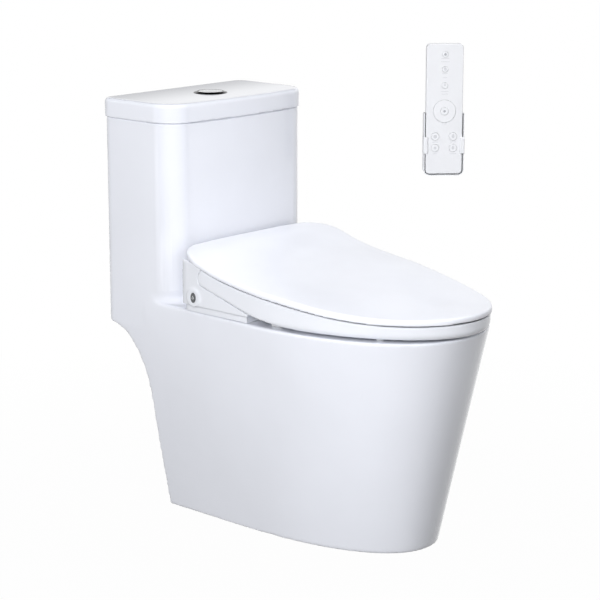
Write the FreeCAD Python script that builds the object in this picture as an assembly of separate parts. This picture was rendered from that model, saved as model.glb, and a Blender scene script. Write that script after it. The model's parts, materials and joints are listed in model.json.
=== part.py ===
"""One-piece toilet with an electric bidet seat and its remote control.

Millimetres. +Z up, the user's side is -Y. The origin is the centre of the floor outlet.
"""
import FreeCAD, Part
import math
import os

V = FreeCAD.Vector

# ---------------------------------------------------------------- driving dimensions
# China: overall form
DECK_Z = 390.0              # top of the bowl's deck and rim
TANK_TOP_Z = 711.0          # rim of the open tank
TANK_BACK_Y = 293.0         # back of the tank; the outlet is 305 from the wall, 12 clear of it
TANK_FRONT_Y = 110.0        # middle of the tank's front
TANK_HALF_W = 176.0
TANK_FRONT_R = 68.0
TANK_BACK_R = 18.0
TANK_BOW_DEG = 5.3          # how much the front face bows, at its ends
TANK_FLARE = 11.0           # foot of the front face, where it runs out onto the deck
TANK_FLARE_H = 18.0
CHINA_WALL = 11.0
TANK_FLOOR_T = 12.0
DECK_T = 12.0
APRON_Z = 338.0             # lower edge of the tank's back and side aprons
APRON_Y = 193.0             # where the deck ends and the aprons begin
RIM_HALF_W = 186.0
RIM_FRONT_Y = -405.0
RIM_MID_Y = -124.0
FOOT_HALF_W = 132.5
FOOT_FRONT_Y = -320.0
FOOT_MID_Y = -37.0
FOOT_BACK_Y = 180.0
FOOT_REAR_HALF_W = 132.0
SKIRT_REAR_EASE = 1.25      # how the rear of the skirt swells up to the tank's width
OUTLINE_POWER = 2.2         # roundness of the front of rim and foot
BACK_KNEE_Y = 192.0         # the skirt's back edge is nearly upright up to this knee
BACK_KNEE_Z = 205.0

# China: bowl, trapway and flush channel
BOWL_HALF_W = 120.0
BOWL_FRONT_Y = -375.0
BOWL_REAR_Y = -75.0
BOWL_POWER = 2.25
SUMP_Z = 84.0
TRAP_R = 27.0
TRAP_WALL = 9.0
TRAP_INLET_Y = -150.0
TRAP_INLET_Z = 112.0
TRAP_RISE_Y = -122.0
TRAP_TOP_Y = -66.0
TRAP_TOP_Z = 225.0
TRAP_BEND_R = 40.0
CHANNEL_HALF_W = 42.0
CHANNEL_Z = 298.0
CHANNEL_WALL = 9.0
CHANNEL_REAR_Y = 192.0
CHANNEL_RISER_Y = 118.0

# Drain and floor fixings
ADAPTER_FLANGE_R = 92.0
ADAPTER_FLANGE_H = 8.0
ADAPTER_BORE_R = 40.0
ADAPTER_BORE_H = 20.0
ADAPTER_SOCKET_R = 46.0
ADAPTER_WALL = 6.0
ADAPTER_H = 52.0
CLOSET_BOLT_SPACING = 152.4
CLOSET_HOLE_R = 4.5
FOOT_LUG_X = 104.0
FOOT_LUG_Y = 148.0
FOOT_LUG_H = 22.0
FOOT_LUG_W = 40.0
FOOT_HOLE_R = 5.5
SCREW_CLEARANCE = 0.5
SCREW_HEAD_H = 5.0

# Tank lid
LID_T = 34.0
LID_OVERHANG = 2.5
LID_PLATE_T = 12.0
LID_EDGE_R = 7.0
LID_LIP_DROP = 7.0
LID_LIP_T = 6.0
LID_LIP_CLEARANCE = 1.5

# Flush button
BUTTON_Y = 196.0
BUTTON_HOLE_R = 27.0
BEZEL_R = 30.5
BEZEL_H = 4.5
SLEEVE_R = 26.5
BUTTON_R = 24.0
BUTTON_GAP = 0.4
BUTTON_T = 10.0
SLEEVE_DROP = 14.0
ROD_R = 3.0
ROD_X = 10.0

# Flush valve
VALVE_Y = 160.0
VALVE_HOLE_R = 28.0
VALVE_SEAT_R = 22.0
VALVE_BODY_R = 34.0
VALVE_WALL = 3.0
LEVER_Z = TANK_TOP_Z - 51.0
VALVE_BODY_TOP_Z = LEVER_Z - 60.0
LEVER_PIVOT_Y = 180.0
LEVER_PIN_R = 1.95
LEVER_PIN_CLEARANCE = 0.05
LEVER_T = 4.0
LEVER_W = 14.0
LEVER_X = 3.5
EAR_T = 3.0
LIFTER_ROD_R = 5.0
OVERFLOW_X = 50.0
OVERFLOW_R = 12.0
OVERFLOW_TOP_Z = LEVER_Z - 20.0

# Fill valve
FILL_X = -118.0
FILL_Y = 212.0
FILL_SHANK_R = 10.5
FILL_TAIL_R = 10.0          # the shank's hose end, below the nut
FILL_TAIL_L = 28.0
FILL_NUT_T = 12.0
FILL_NUT_R = 17.0           # to the corners of its hexagon
FILL_RISER_R = 11.0
FILL_TOP_Z = TANK_TOP_Z - 81.0
FILL_HEAD_R = 21.0
FLOAT_R = 29.0
FLOAT_H = 64.0
FLOAT_REST_Z = DECK_Z + TANK_FLOOR_T + 68.0
FLOAT_CLEARANCE = 0.5
HOSE_R = 4.0

# Bidet seat: hinge and outline
HINGE_Y = 79.0
HINGE_Z = 482.0
HINGE_PIN_R = 4.0
HINGE_CLEARANCE = 0.05
KNUCKLE_R = 8.5
KNUCKLE_X = 126.0           # inner face of the housing's inner ear
EAR_W = 8.0
KNUCKLE_W = 10.0
SIDE_GAP = 0.6
RELIEF_GAP = 1.5            # round everything that turns inside the housing
RELIEF_WALL = 4.0           # side wall left outside the hinge's room
HOUSING_HALF_W = 187.0
COVER_OVERLAP = 4.2
COVER_HALF_W = HOUSING_HALF_W + COVER_OVERLAP
COVER_FRONT_Y = -420.0
COVER_MID_Y = -80.0
COVER_REAR_Y = 102.0
COVER_REAR_R = 58.0
COVER_EDGE_T = 11.0
COVER_EDGE_R = 3.0
COVER_SKIN = 3.0
COVER_LIP = 5.0
# height of the seat cover's top edge, and its crown, at stations along it, front to rear
EDGE_Y = (-434.0, -345.0, -257.0, -157.0, -57.0, 3.0, 43.0, 68.0, 110.0)
EDGE_Z = (431.0, 429.5, 434.0, 446.0, 459.0, 470.7, 483.0, 490.5, 499.0)
CROWN = (0.0, 3.4, 6.3, 8.4, 9.2, 9.0, 7.4, 5.6, 4.6)
CROWN_POWER = 3.0           # flatness of the crown across the cover
SURFACE_ROWS = 16           # fineness of the cover's surface
SEAT_INSET = 2.5            # the ring stands this far inside the cover
SEAT_GAP = 1.2              # between the ring's top edge and the cover
SEAT_BOTTOM_Z = 394.5
SEAT_SPLIT_Z = 404.0        # seam between the ring's two shells
SEAT_TUCK = 5.0             # how far the lower shell's outside tucks in at its bottom
SEAT_RISE_Y = -200.0        # from here to the rear the ring's underside rises off the deck
SEAT_WALL = 4.0
SEAT_DISH = -0.6            # the ring's top dips in by this share of the cover's crown
SEAT_HOLE_HALF_W = 108.0
SEAT_HOLE_FRONT_Y = -372.0
SEAT_HOLE_REAR_Y = -98.0
SEAT_BRIDGE_REAR_Y = -37.0
SEAT_ARCH_HALF_W = 45.0
SEAT_ARCH_Z = 431.0
SEAT_END_Y = 31.0           # centre of the ring's rounded rear end, seen from the side
SEAT_END_Z = 453.0
SEAT_END_R = 14.0
SEAT_LINE_Y = -72.0         # where the slanted seam below the ring's arms reaches the deck gap
SEAT_LINE_Z = 409.0
ARM_X = 150.0               # inner face of the ring's rear arms

# Bidet seat: housing
HOUSING_FRONT_Y = -72.0
HOUSING_REAR_Y = 97.0
HOUSING_REAR_R = 24.0
HOUSING_LEAN = 11.0         # how far the rear leans forward, over the rise below
HOUSING_LEAN_RISE = 42.0
HOUSING_LEAN_Z = 436.0      # where the lean starts
HOUSING_BASE_Z = 395.0
HOUSING_COVER_Z = 402.0
PLINTH_INSET = 6.0          # the housing's base stands this far inside its cover
PLINTH_WALL = 4.0
PLINTH_GAP = 0.7            # between the base's side walls and the deck
HOUSING_GAP = 1.0           # seam between housing and ring
HOUSING_SKIN = 3.0
HUMP_FRONT_Y = -32.0
APRON_TOP_Z = 405.0
NOSE_HALF_W = 36.0
NOSE_TOP_Z = 421.0
PLATE_T = 4.7
PLATE_HALF_W = 110.0
PLATE_FRONT_Y = -10.0
PLATE_REAR_Y = 84.0
SEAT_BOLT_SPACING = 140.0
SEAT_BOLT_Y = 60.0
SEAT_BOLT_R = 5.5
SEAT_BOLT_HOLE_R = 7.0
RAIL_X = 50.0
RAIL_W = 9.0
RAIL_H = 3.5
NOZZLE_DEG = 20.0
NOZZLE_R = 6.5
NOZZLE_L = 135.0
NOZZLE_TIP_Y = -66.0
NOZZLE_TIP_Z = 411.0
NOZZLE_CLEARANCE = 0.4
SIDE_BUTTON_Y = 56.0
SIDE_BUTTON_Z = 417.0
SIDE_BOSS_R = 16.5
SIDE_BOSS_H = 2.0
SIDE_BUTTON_W = 9.5
SIDE_BUTTON_H = 15.5
SIDE_RING_T = 0.9
SIDE_RING_L = 6.0
SIDE_WELL = 10.0            # depth of the button's well, from the housing's side
BUFFER_L = 22.0
BUFFER_W = 12.0
REST_GAP = 0.2

# Remote control, in its own frame: width X, front face -Y, height Z
REMOTE_TURN_DEG = -45.0
REMOTE_X = 374.0
REMOTE_Y = -46.0
REMOTE_Z = 700.0            # middle of the remote
REMOTE_W = 68.5
REMOTE_H = 243.0
REMOTE_T = 20.0
REMOTE_R = 7.7
REMOTE_SHELL = 2.0
REMOTE_SEAM_T = 9.0         # thickness of the front shell
KEY_GAP = 0.4
KEY_PROUD = 0.8
KEY_T = 5.0
RING_KEY_R = 21.0
CENTRE_KEY_R = 7.2
RING_DROP = 125.0           # below the remote's top edge
UPPER_KEY_R = 5.5
UPPER_KEY_DROPS = (19.3, 47.0, 77.0)
LOWER_KEY_R = 7.2
LOWER_KEY_X = 16.8
LOWER_KEY_DROPS = (172.7, 194.0)
CRADLE_H = 113.5
CRADLE_WALL = 1.8
CRADLE_BACK_T = 4.0
CRADLE_CLEARANCE = 0.3
LINER_T = 1.4
CLIP_H = 31.0
CLIP_DROP = 44.0            # below the cradle's top edge
CLIP_REACH = 4.5            # how far the clips reach over the remote's face
CLIP_T = 2.5
SCREW_HOLE_R = 2.2
SCREW_HOLE_SPACING = 60.0
BATTERY_HALF_W = 22.0
BATTERY_Z = (22.0, 88.0)    # lower and upper edge of the battery door

FAR = 600.0                 # longer than anything it has to cut through


# ---------------------------------------------------------------- helpers
def box(x0, x1, y0, y1, z0, z1):
    return Part.makeBox(x1 - x0, y1 - y0, z1 - z0, V(x0, y0, z0))


def cyl_z(r, x, y, z0, z1):
    return Part.makeCylinder(r, z1 - z0, V(x, y, z0))


def cyl_x(r, x0, x1, y, z):
    return Part.makeCylinder(r, x1 - x0, V(x0, y, z), V(1, 0, 0))


def cyl_y(r, x, y0, y1, z):
    return Part.makeCylinder(r, y1 - y0, V(x, y0, z), V(0, 1, 0))


def ring_z(r_out, r_in, x, y, z0, z1):
    return cyl_z(r_out, x, y, z0, z1).cut(cyl_z(r_in, x, y, z0 - 1, z1 + 1))


def extrude_yz(points, x0, x1):
    """Prism along X of a closed polygon of (y, z) points."""
    wire = Part.makePolygon([V(x0, y, z) for y, z in points + points[:1]])
    return Part.Face(wire).extrude(V(x1 - x0, 0, 0))


def prism(wire, z0, z1):
    """Upright prism of a closed wire that lies at z = 0."""
    base = wire.copy()
    base.translate(V(0, 0, z0))
    return Part.Face(base).extrude(V(0, 0, z1 - z0))


def mirrored_pair(shape):
    return [shape, shape.mirror(V(0, 0, 0), V(1, 0, 0))]


def joined(shapes):
    """One solid from shapes that overlap or share faces."""
    return shapes[0].multiFuse(shapes[1:]).removeSplitter()


def spline(points, start, end):
    curve = Part.BSplineCurve()
    curve.interpolate(Points=points, InitialTangent=start, FinalTangent=end)
    return curve.toShape()


def superellipse_front(half_w, y_mid, y_front, power, z, steps=6):
    """Front curve from (-half_w, y_mid) round the front to (half_w, y_mid)."""
    points = []
    for i in range(2 * steps + 1):
        t = math.pi * i / (2 * steps)
        c = math.cos(t)
        x = -math.copysign(abs(c) ** (2 / power), c) * half_w
        y = y_mid + (y_front - y_mid) * abs(math.sin(t)) ** (2 / power)
        points.append(V(x, y, z))
    return spline(points, V(0, -1, 0), V(0, 1, 0))


def oval(half_w, y_front, y_rear, power, z=0.0, steps=24):
    """Closed superellipse."""
    mid = (y_front + y_rear) / 2
    reach = (y_rear - y_front) / 2
    points = []
    for i in range(steps):
        c = math.cos(2 * math.pi * i / steps)
        s = math.sin(2 * math.pi * i / steps)
        x = half_w * math.copysign(abs(c) ** (2 / power), c)
        points.append(V(x, mid + reach * math.copysign(abs(s) ** (2 / power), s), z))
    curve = Part.BSplineCurve()
    curve.interpolate(Points=points, PeriodicFlag=True)
    return Part.Wire([curve.toShape()])


def rounded_path(points, radii):
    """Wire of straight runs joined by tangent arcs at the inner points."""
    edges = []
    start = points[0]
    for i in range(1, len(points) - 1):
        corner = points[i]
        back = (points[i - 1] - corner).normalize()
        ahead = (points[i + 1] - corner).normalize()
        half = back.getAngle(ahead) / 2
        reach = radii[i - 1] / math.tan(half)
        first = corner + back * reach
        last = corner + ahead * reach
        middle_dir = (back + ahead).normalize()
        middle = corner + middle_dir * (radii[i - 1] / math.sin(half) - radii[i - 1])
        if (first - start).Length > 1e-6:
            edges.append(Part.LineSegment(start, first).toShape())
        edges.append(Part.Arc(first, middle, last).toShape())
        start = last
    edges.append(Part.LineSegment(start, points[-1]).toShape())
    return Part.Wire(edges)


def swept_disc(path, r):
    start = path.Edges[0].valueAt(path.Edges[0].FirstParameter)
    aim = path.Edges[0].tangentAt(path.Edges[0].FirstParameter)
    disc = Part.Wire([Part.Circle(start, aim, r).toShape()])
    return path.makePipeShell([disc], True, True)


def swept_tube(path, r_out, r_in):
    return swept_disc(path, r_out).cut(swept_disc(path, r_in))


def rounded_slab(w, y0, y1, z0, z1, r):
    """Slab, w wide on X, with its four corners rounded as seen from the front."""
    slab = box(-w / 2, w / 2, y0, y1, z0, z1)
    edges = [e for e in slab.Edges if abs(e.tangentAt(0).y) > 0.9]
    return slab.makeFillet(r, edges)


# ---------------------------------------------------------------- china outlines
def blend(a, b, s):
    return a + (b - a) * s


def skirt_half_w(z):
    return blend(FOOT_HALF_W, RIM_HALF_W, z / DECK_Z)


def skirt_rear_half_w(z):
    s = max(0.0, 1 - z / APRON_Z)
    return blend(TANK_HALF_W, FOOT_REAR_HALF_W, s ** SKIRT_REAR_EASE)


def skirt_outline(z, inset, y_back):
    """Closed outline of the skirt at height z: round front, eased sides, straight back."""
    s = z / DECK_Z
    half = skirt_half_w(z) - inset
    rear = skirt_rear_half_w(z) - inset
    mid = blend(FOOT_MID_Y, RIM_MID_Y, s)
    front = blend(FOOT_FRONT_Y, RIM_FRONT_Y, s) + inset
    ease = (APRON_Y - mid) / 3
    edges = [superellipse_front(half, mid, front, OUTLINE_POWER, z)]
    right = Part.BezierCurve()
    right.setPoles([V(half, mid, z), V(half, mid + ease, z), V(rear, APRON_Y - ease, z), V(rear, APRON_Y, z)])
    left = Part.BezierCurve()
    left.setPoles([V(-rear, APRON_Y, z), V(-rear, APRON_Y - ease, z), V(-half, mid + ease, z), V(-half, mid, z)])
    edges.append(right.toShape())
    edges.append(Part.LineSegment(V(rear, APRON_Y, z), V(rear, y_back, z)).toShape())
    edges.append(Part.LineSegment(V(rear, y_back, z), V(-rear, y_back, z)).toShape())
    edges.append(Part.LineSegment(V(-rear, y_back, z), V(-rear, APRON_Y, z)).toShape())
    edges.append(left.toShape())
    return Part.Wire(edges)


def skirt_loft(inset, y_back, heights):
    return Part.makeLoft([skirt_outline(z, inset, y_back) for z in heights], True, False)


def skirt_back_cutter():
    """Everything behind the skirt's back edge, which sweeps up to the tank."""
    x = FAR / 2
    knee = V(-x, BACK_KNEE_Y, BACK_KNEE_Z)
    tip = V(-x, TANK_BACK_Y - 5, APRON_Z)
    curve = Part.BezierCurve()
    curve.setPoles([knee, V(-x, BACK_KNEE_Y + 5, BACK_KNEE_Z + 70), V(-x, BACK_KNEE_Y + 38, APRON_Z - 2), tip])
    foot = V(-x, FOOT_BACK_Y, 0)
    low = V(-x, FOOT_BACK_Y, -10)
    far_low = V(-x, FAR, -10)
    far_high = V(-x, FAR, APRON_Z)
    edges = [Part.LineSegment(low, foot).toShape(), Part.LineSegment(foot, knee).toShape(), curve.toShape()]
    edges.append(Part.LineSegment(tip, far_high).toShape())
    edges.append(Part.LineSegment(far_high, far_low).toShape())
    edges.append(Part.LineSegment(far_low, low).toShape())
    return Part.Face(Part.Wire(edges)).extrude(V(2 * x, 0, 0))


def tank_outline(inset, forward=0.0, z=0.0):
    """Tank's plan: flat back, straight sides, bowed front. forward moves the front out."""
    bow = math.radians(TANK_BOW_DEG)
    half = TANK_HALF_W - inset
    front_r = TANK_FRONT_R - inset
    back_r = max(TANK_BACK_R - inset, 4.0)
    back = TANK_BACK_Y - inset
    cx = TANK_HALF_W - TANK_FRONT_R
    chord = cx + front_r * math.sin(bow)
    sag = chord * math.tan(bow / 2)
    full_chord = cx + TANK_FRONT_R * math.sin(bow)
    cy = TANK_FRONT_Y - forward + full_chord * math.tan(bow / 2) + TANK_FRONT_R * math.cos(bow)
    end_y = cy - front_r * math.cos(bow)
    h = math.sqrt(0.5)
    corner = (math.pi / 2 - bow) / 2
    edges = []
    edges.append(Part.LineSegment(V(-half + back_r, back, z), V(half - back_r, back, z)).toShape())
    edges.append(Part.Arc(V(half - back_r, back, z),
                          V(half - back_r + back_r * h, back - back_r + back_r * h, z),
                          V(half, back - back_r, z)).toShape())
    edges.append(Part.LineSegment(V(half, back - back_r, z), V(half, cy, z)).toShape())
    edges.append(Part.Arc(V(half, cy, z),
                          V(cx + front_r * math.cos(corner), cy - front_r * math.sin(corner), z),
                          V(chord, end_y, z)).toShape())
    edges.append(Part.Arc(V(chord, end_y, z), V(0, end_y - sag, z), V(-chord, end_y, z)).toShape())
    edges.append(Part.Arc(V(-chord, end_y, z),
                          V(-cx - front_r * math.cos(corner), cy - front_r * math.sin(corner), z),
                          V(-half, cy, z)).toShape())
    edges.append(Part.LineSegment(V(-half, cy, z), V(-half, back - back_r, z)).toShape())
    edges.append(Part.Arc(V(-half, back - back_r, z),
                          V(-half + back_r - back_r * h, back - back_r + back_r * h, z),
                          V(-half + back_r, back, z)).toShape())
    return Part.Wire(edges)


# ---------------------------------------------------------------- china castings
BASIN = (  # height, half width, front and rear of the basin's inner wall
    (DECK_Z + 1, BOWL_HALF_W, BOWL_FRONT_Y, BOWL_REAR_Y),
    (350.0, 115.0, -367.0, -84.0),
    (290.0, 103.0, -356.0, -102.0),
    (220.0, 80.0, -334.0, -142.0),
    (150.0, 56.0, -300.0, -172.0),
    (SUMP_Z, 36.0, -262.0, -184.0),
)


def basin_loft(grow):
    """Basin grown outwards by grow; its floor drops by the same amount."""
    wires = []
    for i, (z, half, front, rear) in enumerate(BASIN):
        floor_drop = grow if i == len(BASIN) - 1 else 0.0
        wires.append(oval(half + grow, front - grow, rear + grow, BOWL_POWER, z - floor_drop))
    return Part.makeLoft(wires[::-1], True, False)


def make_tank_casting():
    steps = ((0.0, 1.0), (0.14, 0.64), (0.33, 0.34), (0.62, 0.1), (1.0, 0.0))
    flare = [tank_outline(0, TANK_FLARE * out, DECK_Z + TANK_FLARE_H * up) for up, out in steps]
    foot = Part.makeLoft(flare, True, False)
    walls = prism(tank_outline(0), DECK_Z + TANK_FLARE_H, TANK_TOP_Z)
    apron = prism(tank_outline(0), APRON_Z, DECK_Z)
    apron = apron.common(box(-FAR, FAR, APRON_Y, FAR, APRON_Z, DECK_Z))
    outer = joined([foot, walls, apron])
    room = prism(tank_outline(CHINA_WALL), DECK_Z + TANK_FLOOR_T, TANK_TOP_Z + 1)
    recess = prism(tank_outline(CHINA_WALL), APRON_Z - 1, DECK_Z)
    recess = recess.common(box(-FAR, FAR, APRON_Y - 1, FAR, APRON_Z - 1, DECK_Z))
    tank = outer.cut(room).cut(recess)
    tank = tank.cut(cyl_z(VALVE_HOLE_R, 0, VALVE_Y, DECK_Z - 1, DECK_Z + TANK_FLOOR_T + 1))
    fill_hole = cyl_z(FILL_SHANK_R + SCREW_CLEARANCE, FILL_X, FILL_Y, DECK_Z - 1, DECK_Z + TANK_FLOOR_T + 1)
    return tank.cut(fill_hole)


def make_skirt_casting():
    heights = (0.0, 90.0, 180.0, 265.0, APRON_Z, DECK_Z)
    outer = skirt_loft(0, TANK_BACK_Y, heights)
    outer = outer.cut(skirt_back_cutter())
    lugs = []
    for side in (-1, 1):
        inner_x = side * (FOOT_LUG_X - FOOT_LUG_W / 2)
        x0, x1 = sorted((inner_x, side * FOOT_HALF_W))
        lugs.append(box(x0, x1, FOOT_LUG_Y - FOOT_LUG_W / 2, FOOT_LUG_Y + FOOT_LUG_W / 2, 0, FOOT_LUG_H))
    lugs = [lug.common(outer) for lug in lugs]
    inner = skirt_loft(CHINA_WALL, FAR, (-5.0,) + heights[1:-1] + (DECK_Z + 5,))
    below_deck = box(-FAR, FAR, -FAR, APRON_Y, -1, DECK_Z - DECK_T)
    below_apron = box(-FAR, FAR, APRON_Y, FAR, -1, APRON_Z)
    shell = outer.cut(inner).common(joined([below_deck, below_apron]))
    shell = joined([shell] + lugs)
    for side in (-1, 1):
        shell = shell.cut(cyl_z(FOOT_HOLE_R, side * FOOT_LUG_X, FOOT_LUG_Y, -1, FOOT_LUG_H + 1))
    return shell


def make_bowl_casting():
    heights = (0.0, 90.0, 180.0, 265.0, APRON_Z, DECK_Z)
    deck = skirt_loft(0, TANK_BACK_Y, heights)
    deck = deck.common(box(-FAR, FAR, -FAR, APRON_Y, DECK_Z - DECK_T, DECK_Z + 1))
    basin = basin_loft(CHINA_WALL)
    basin = basin.common(box(-FAR, FAR, -FAR, FAR, 0, DECK_Z - DECK_T / 2))
    stub = cyl_y(TRAP_R + TRAP_WALL, 0, TRAP_INLET_Y - 60, TRAP_INLET_Y, TRAP_INLET_Z)
    bowl = joined([deck, basin, stub])
    bowl = bowl.cut(basin_loft(0))
    bowl = bowl.cut(cyl_y(TRAP_R, 0, TRAP_INLET_Y - 75, TRAP_INLET_Y + 1, TRAP_INLET_Z))
    jet = box(-CHANNEL_HALF_W + CHANNEL_WALL, CHANNEL_HALF_W - CHANNEL_WALL, -130, -60,
              CHANNEL_Z + CHANNEL_WALL, APRON_Z - CHANNEL_WALL)
    bowl = bowl.cut(jet)
    bowl = bowl.cut(cyl_z(VALVE_HOLE_R, 0, VALVE_Y, DECK_Z - DECK_T - 1, DECK_Z + 1))
    for side in (-1, 1):
        hole = cyl_z(SEAT_BOLT_HOLE_R, side * SEAT_BOLT_SPACING / 2, SEAT_BOLT_Y, DECK_Z - DECK_T - 1, DECK_Z + 1)
        bowl = bowl.cut(hole)
    return bowl


def make_trapway_casting():
    points = [V(0, TRAP_INLET_Y, TRAP_INLET_Z), V(0, TRAP_RISE_Y, TRAP_INLET_Z), V(0, TRAP_TOP_Y, TRAP_TOP_Z)]
    points += [V(0, 0, TRAP_TOP_Z), V(0, 0, ADAPTER_BORE_H + 2)]
    path = rounded_path(points, [TRAP_BEND_R] * 3)
    return swept_tube(path, TRAP_R + TRAP_WALL, TRAP_R)


def make_flush_channel():
    w, t = CHANNEL_HALF_W, CHANNEL_WALL
    run = box(-w, w, -110, CHANNEL_REAR_Y, CHANNEL_Z, APRON_Z)
    riser = box(-w, w, CHANNEL_RISER_Y, CHANNEL_REAR_Y, APRON_Z, DECK_Z - DECK_T)
    room = box(-w + t, w - t, -111, CHANNEL_REAR_Y - t, CHANNEL_Z + t, APRON_Z - t)
    up = box(-w + t, w - t, CHANNEL_RISER_Y + t, CHANNEL_REAR_Y - t, CHANNEL_Z + t, DECK_Z)
    return joined([run, riser]).cut(joined([room, up])).cut(basin_loft(CHINA_WALL))


def make_tank_lid():
    top = TANK_TOP_Z + LID_T
    outer = prism(tank_outline(-LID_OVERHANG), TANK_TOP_Z, top)
    rim = [e for e in outer.Edges if e.BoundBox.ZMin > top - 0.01]
    outer = outer.makeFillet(LID_EDGE_R, rim)
    lip_out = CHINA_WALL + LID_LIP_CLEARANCE
    lip = prism(tank_outline(lip_out), TANK_TOP_Z - LID_LIP_DROP, TANK_TOP_Z)
    room = prism(tank_outline(lip_out + LID_LIP_T), TANK_TOP_Z - LID_LIP_DROP - 1, top - LID_PLATE_T)
    lid = joined([outer, lip]).cut(room)
    return lid.cut(cyl_z(BUTTON_HOLE_R, 0, BUTTON_Y, TANK_TOP_Z, top + 1))


# ---------------------------------------------------------------- drain and floor
def make_outlet_adapter():
    body = cyl_z(ADAPTER_SOCKET_R + ADAPTER_WALL, 0, 0, 0, ADAPTER_H)
    flange = cyl_z(ADAPTER_FLANGE_R, 0, 0, 0, ADAPTER_FLANGE_H)
    ribs = [box(-ADAPTER_FLANGE_R + 8, ADAPTER_FLANGE_R - 8, -2, 2, 0, 26)]
    ribs[0].rotate(V(0, 0, 0), V(0, 0, 1), 90)
    body = joined([body, flange] + ribs)
    body = body.cut(cyl_z(ADAPTER_BORE_R, 0, 0, -1, ADAPTER_H))
    body = body.cut(cyl_z(ADAPTER_SOCKET_R, 0, 0, ADAPTER_BORE_H, ADAPTER_H + 1))
    for side in (-1, 1):
        body = body.cut(cyl_z(CLOSET_HOLE_R, side * CLOSET_BOLT_SPACING / 2, 0, -1, ADAPTER_FLANGE_H + 1))
    return body


def make_outlet_seal():
    r_in = TRAP_R + TRAP_WALL
    z0 = ADAPTER_BORE_H + 8
    z1 = ADAPTER_H - 4
    ring = ring_z(ADAPTER_SOCKET_R, r_in, 0, 0, z0, z1)
    lip = ring_z(ADAPTER_SOCKET_R + ADAPTER_WALL, r_in, 0, 0, ADAPTER_H, ADAPTER_H + 3)
    neck = ring_z(ADAPTER_SOCKET_R, r_in, 0, 0, z1 - 1, ADAPTER_H + 1)
    return joined([ring, neck, lip])


def screw(shank_r, head_r, x, y, z_tip, z_seat):
    """Pan-head screw standing on its tip, with a cross slot in its head."""
    head = cyl_z(head_r, x, y, z_seat, z_seat + SCREW_HEAD_H)
    head = head.makeFillet(head_r * 0.35, [e for e in head.Edges if e.BoundBox.ZMin > z_seat + 1])
    slot = box(x - 0.6, x + 0.6, y - head_r * 0.6, y + head_r * 0.6, z_seat + SCREW_HEAD_H - 2, z_seat + 9)
    cross = slot.copy()
    cross.rotate(V(x, y, 0), V(0, 0, 1), 90)
    return joined([cyl_z(shank_r, x, y, z_tip, z_seat + 1), head]).cut(slot).cut(cross)


def make_floor_screws():
    screws = []
    for side in (-1, 1):
        x = side * CLOSET_BOLT_SPACING / 2
        screws.append(screw(CLOSET_HOLE_R - SCREW_CLEARANCE, 8.5, x, 0, 0, ADAPTER_FLANGE_H))
    return Part.makeCompound(screws)


# ---------------------------------------------------------------- flush button
def make_button_bezel():
    top = TANK_TOP_Z + LID_T
    bottom = top - LID_PLATE_T - SLEEVE_DROP
    flange = Part.makeCone(BEZEL_R, BEZEL_R - 3.2, BEZEL_H, V(0, BUTTON_Y, top))
    rim = [e for e in flange.Edges if e.BoundBox.ZMin > top + 1 and e.Length > 50]
    flange = flange.makeFillet(1.4, rim)
    sleeve = cyl_z(SLEEVE_R, 0, BUTTON_Y, bottom, top + 1)
    return joined([flange, sleeve]).cut(cyl_z(BUTTON_R + BUTTON_GAP, 0, BUTTON_Y, bottom - 1, top + 20))


def make_bezel_nut():
    under = TANK_TOP_Z + LID_T - LID_PLATE_T
    nut = ring_z(BEZEL_R + 4, SLEEVE_R, 0, BUTTON_Y, under - 8, under)
    grips = []
    for k in range(8):
        grip = cyl_z(3, BEZEL_R + 5.5, BUTTON_Y, under - 9, under - 2)
        grip.rotate(V(0, BUTTON_Y, 0), V(0, 0, 1), 45 * k)
        grips.append(grip)
    return nut.cut(Part.makeCompound(grips))


def make_flush_button(side):
    """One half of the split button; side is -1 or 1."""
    top = TANK_TOP_Z + LID_T + BEZEL_H - 1.0
    disc = cyl_z(BUTTON_R, 0, BUTTON_Y, top - BUTTON_T, top)
    disc = disc.makeFillet(1.2, [e for e in disc.Edges if e.BoundBox.ZMin > top - 1])
    dish = Part.makeSphere(180, V(0, BUTTON_Y, top + 179.2))
    x0, x1 = sorted((side * BUTTON_GAP, side * FAR))
    return disc.cut(dish).common(box(x0, x1, -FAR, FAR, 0, 2 * FAR))


def make_flush_rod(side):
    top = TANK_TOP_Z + LID_T + BEZEL_H - 1.0 - BUTTON_T
    bottom = LEVER_Z + LEVER_T / 2 + REST_GAP
    rod = cyl_z(ROD_R, side * ROD_X, BUTTON_Y, bottom, top)
    collar = cyl_z(ROD_R + 3, side * ROD_X, BUTTON_Y, top - 3, top)
    return joined([rod, collar])


# ---------------------------------------------------------------- flush valve
FLOOR_Z = DECK_Z + TANK_FLOOR_T


def make_flush_valve_base():
    flange = cyl_z(VALVE_BODY_R + 3, 0, VALVE_Y, FLOOR_Z, FLOOR_Z + 4)
    tail = cyl_z(VALVE_HOLE_R - SCREW_CLEARANCE, 0, VALVE_Y, DECK_Z - DECK_T, FLOOR_Z + 1)
    collar = cyl_z(VALVE_SEAT_R + 4, 0, VALVE_Y, FLOOR_Z, FLOOR_Z + 8)
    socket = cyl_z(OVERFLOW_R + 3, OVERFLOW_X, VALVE_Y, FLOOR_Z, FLOOR_Z + 18)
    bridge = box(0, OVERFLOW_X, VALVE_Y - 10, VALVE_Y + 10, FLOOR_Z, FLOOR_Z + 4)
    base = joined([flange, tail, collar, socket, bridge])
    base = base.cut(cyl_z(VALVE_SEAT_R, 0, VALVE_Y, DECK_Z - DECK_T - 1, FLOOR_Z + 20))
    return base.cut(cyl_z(OVERFLOW_R, OVERFLOW_X, VALVE_Y, FLOOR_Z + 6, FLOOR_Z + 20))


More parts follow.
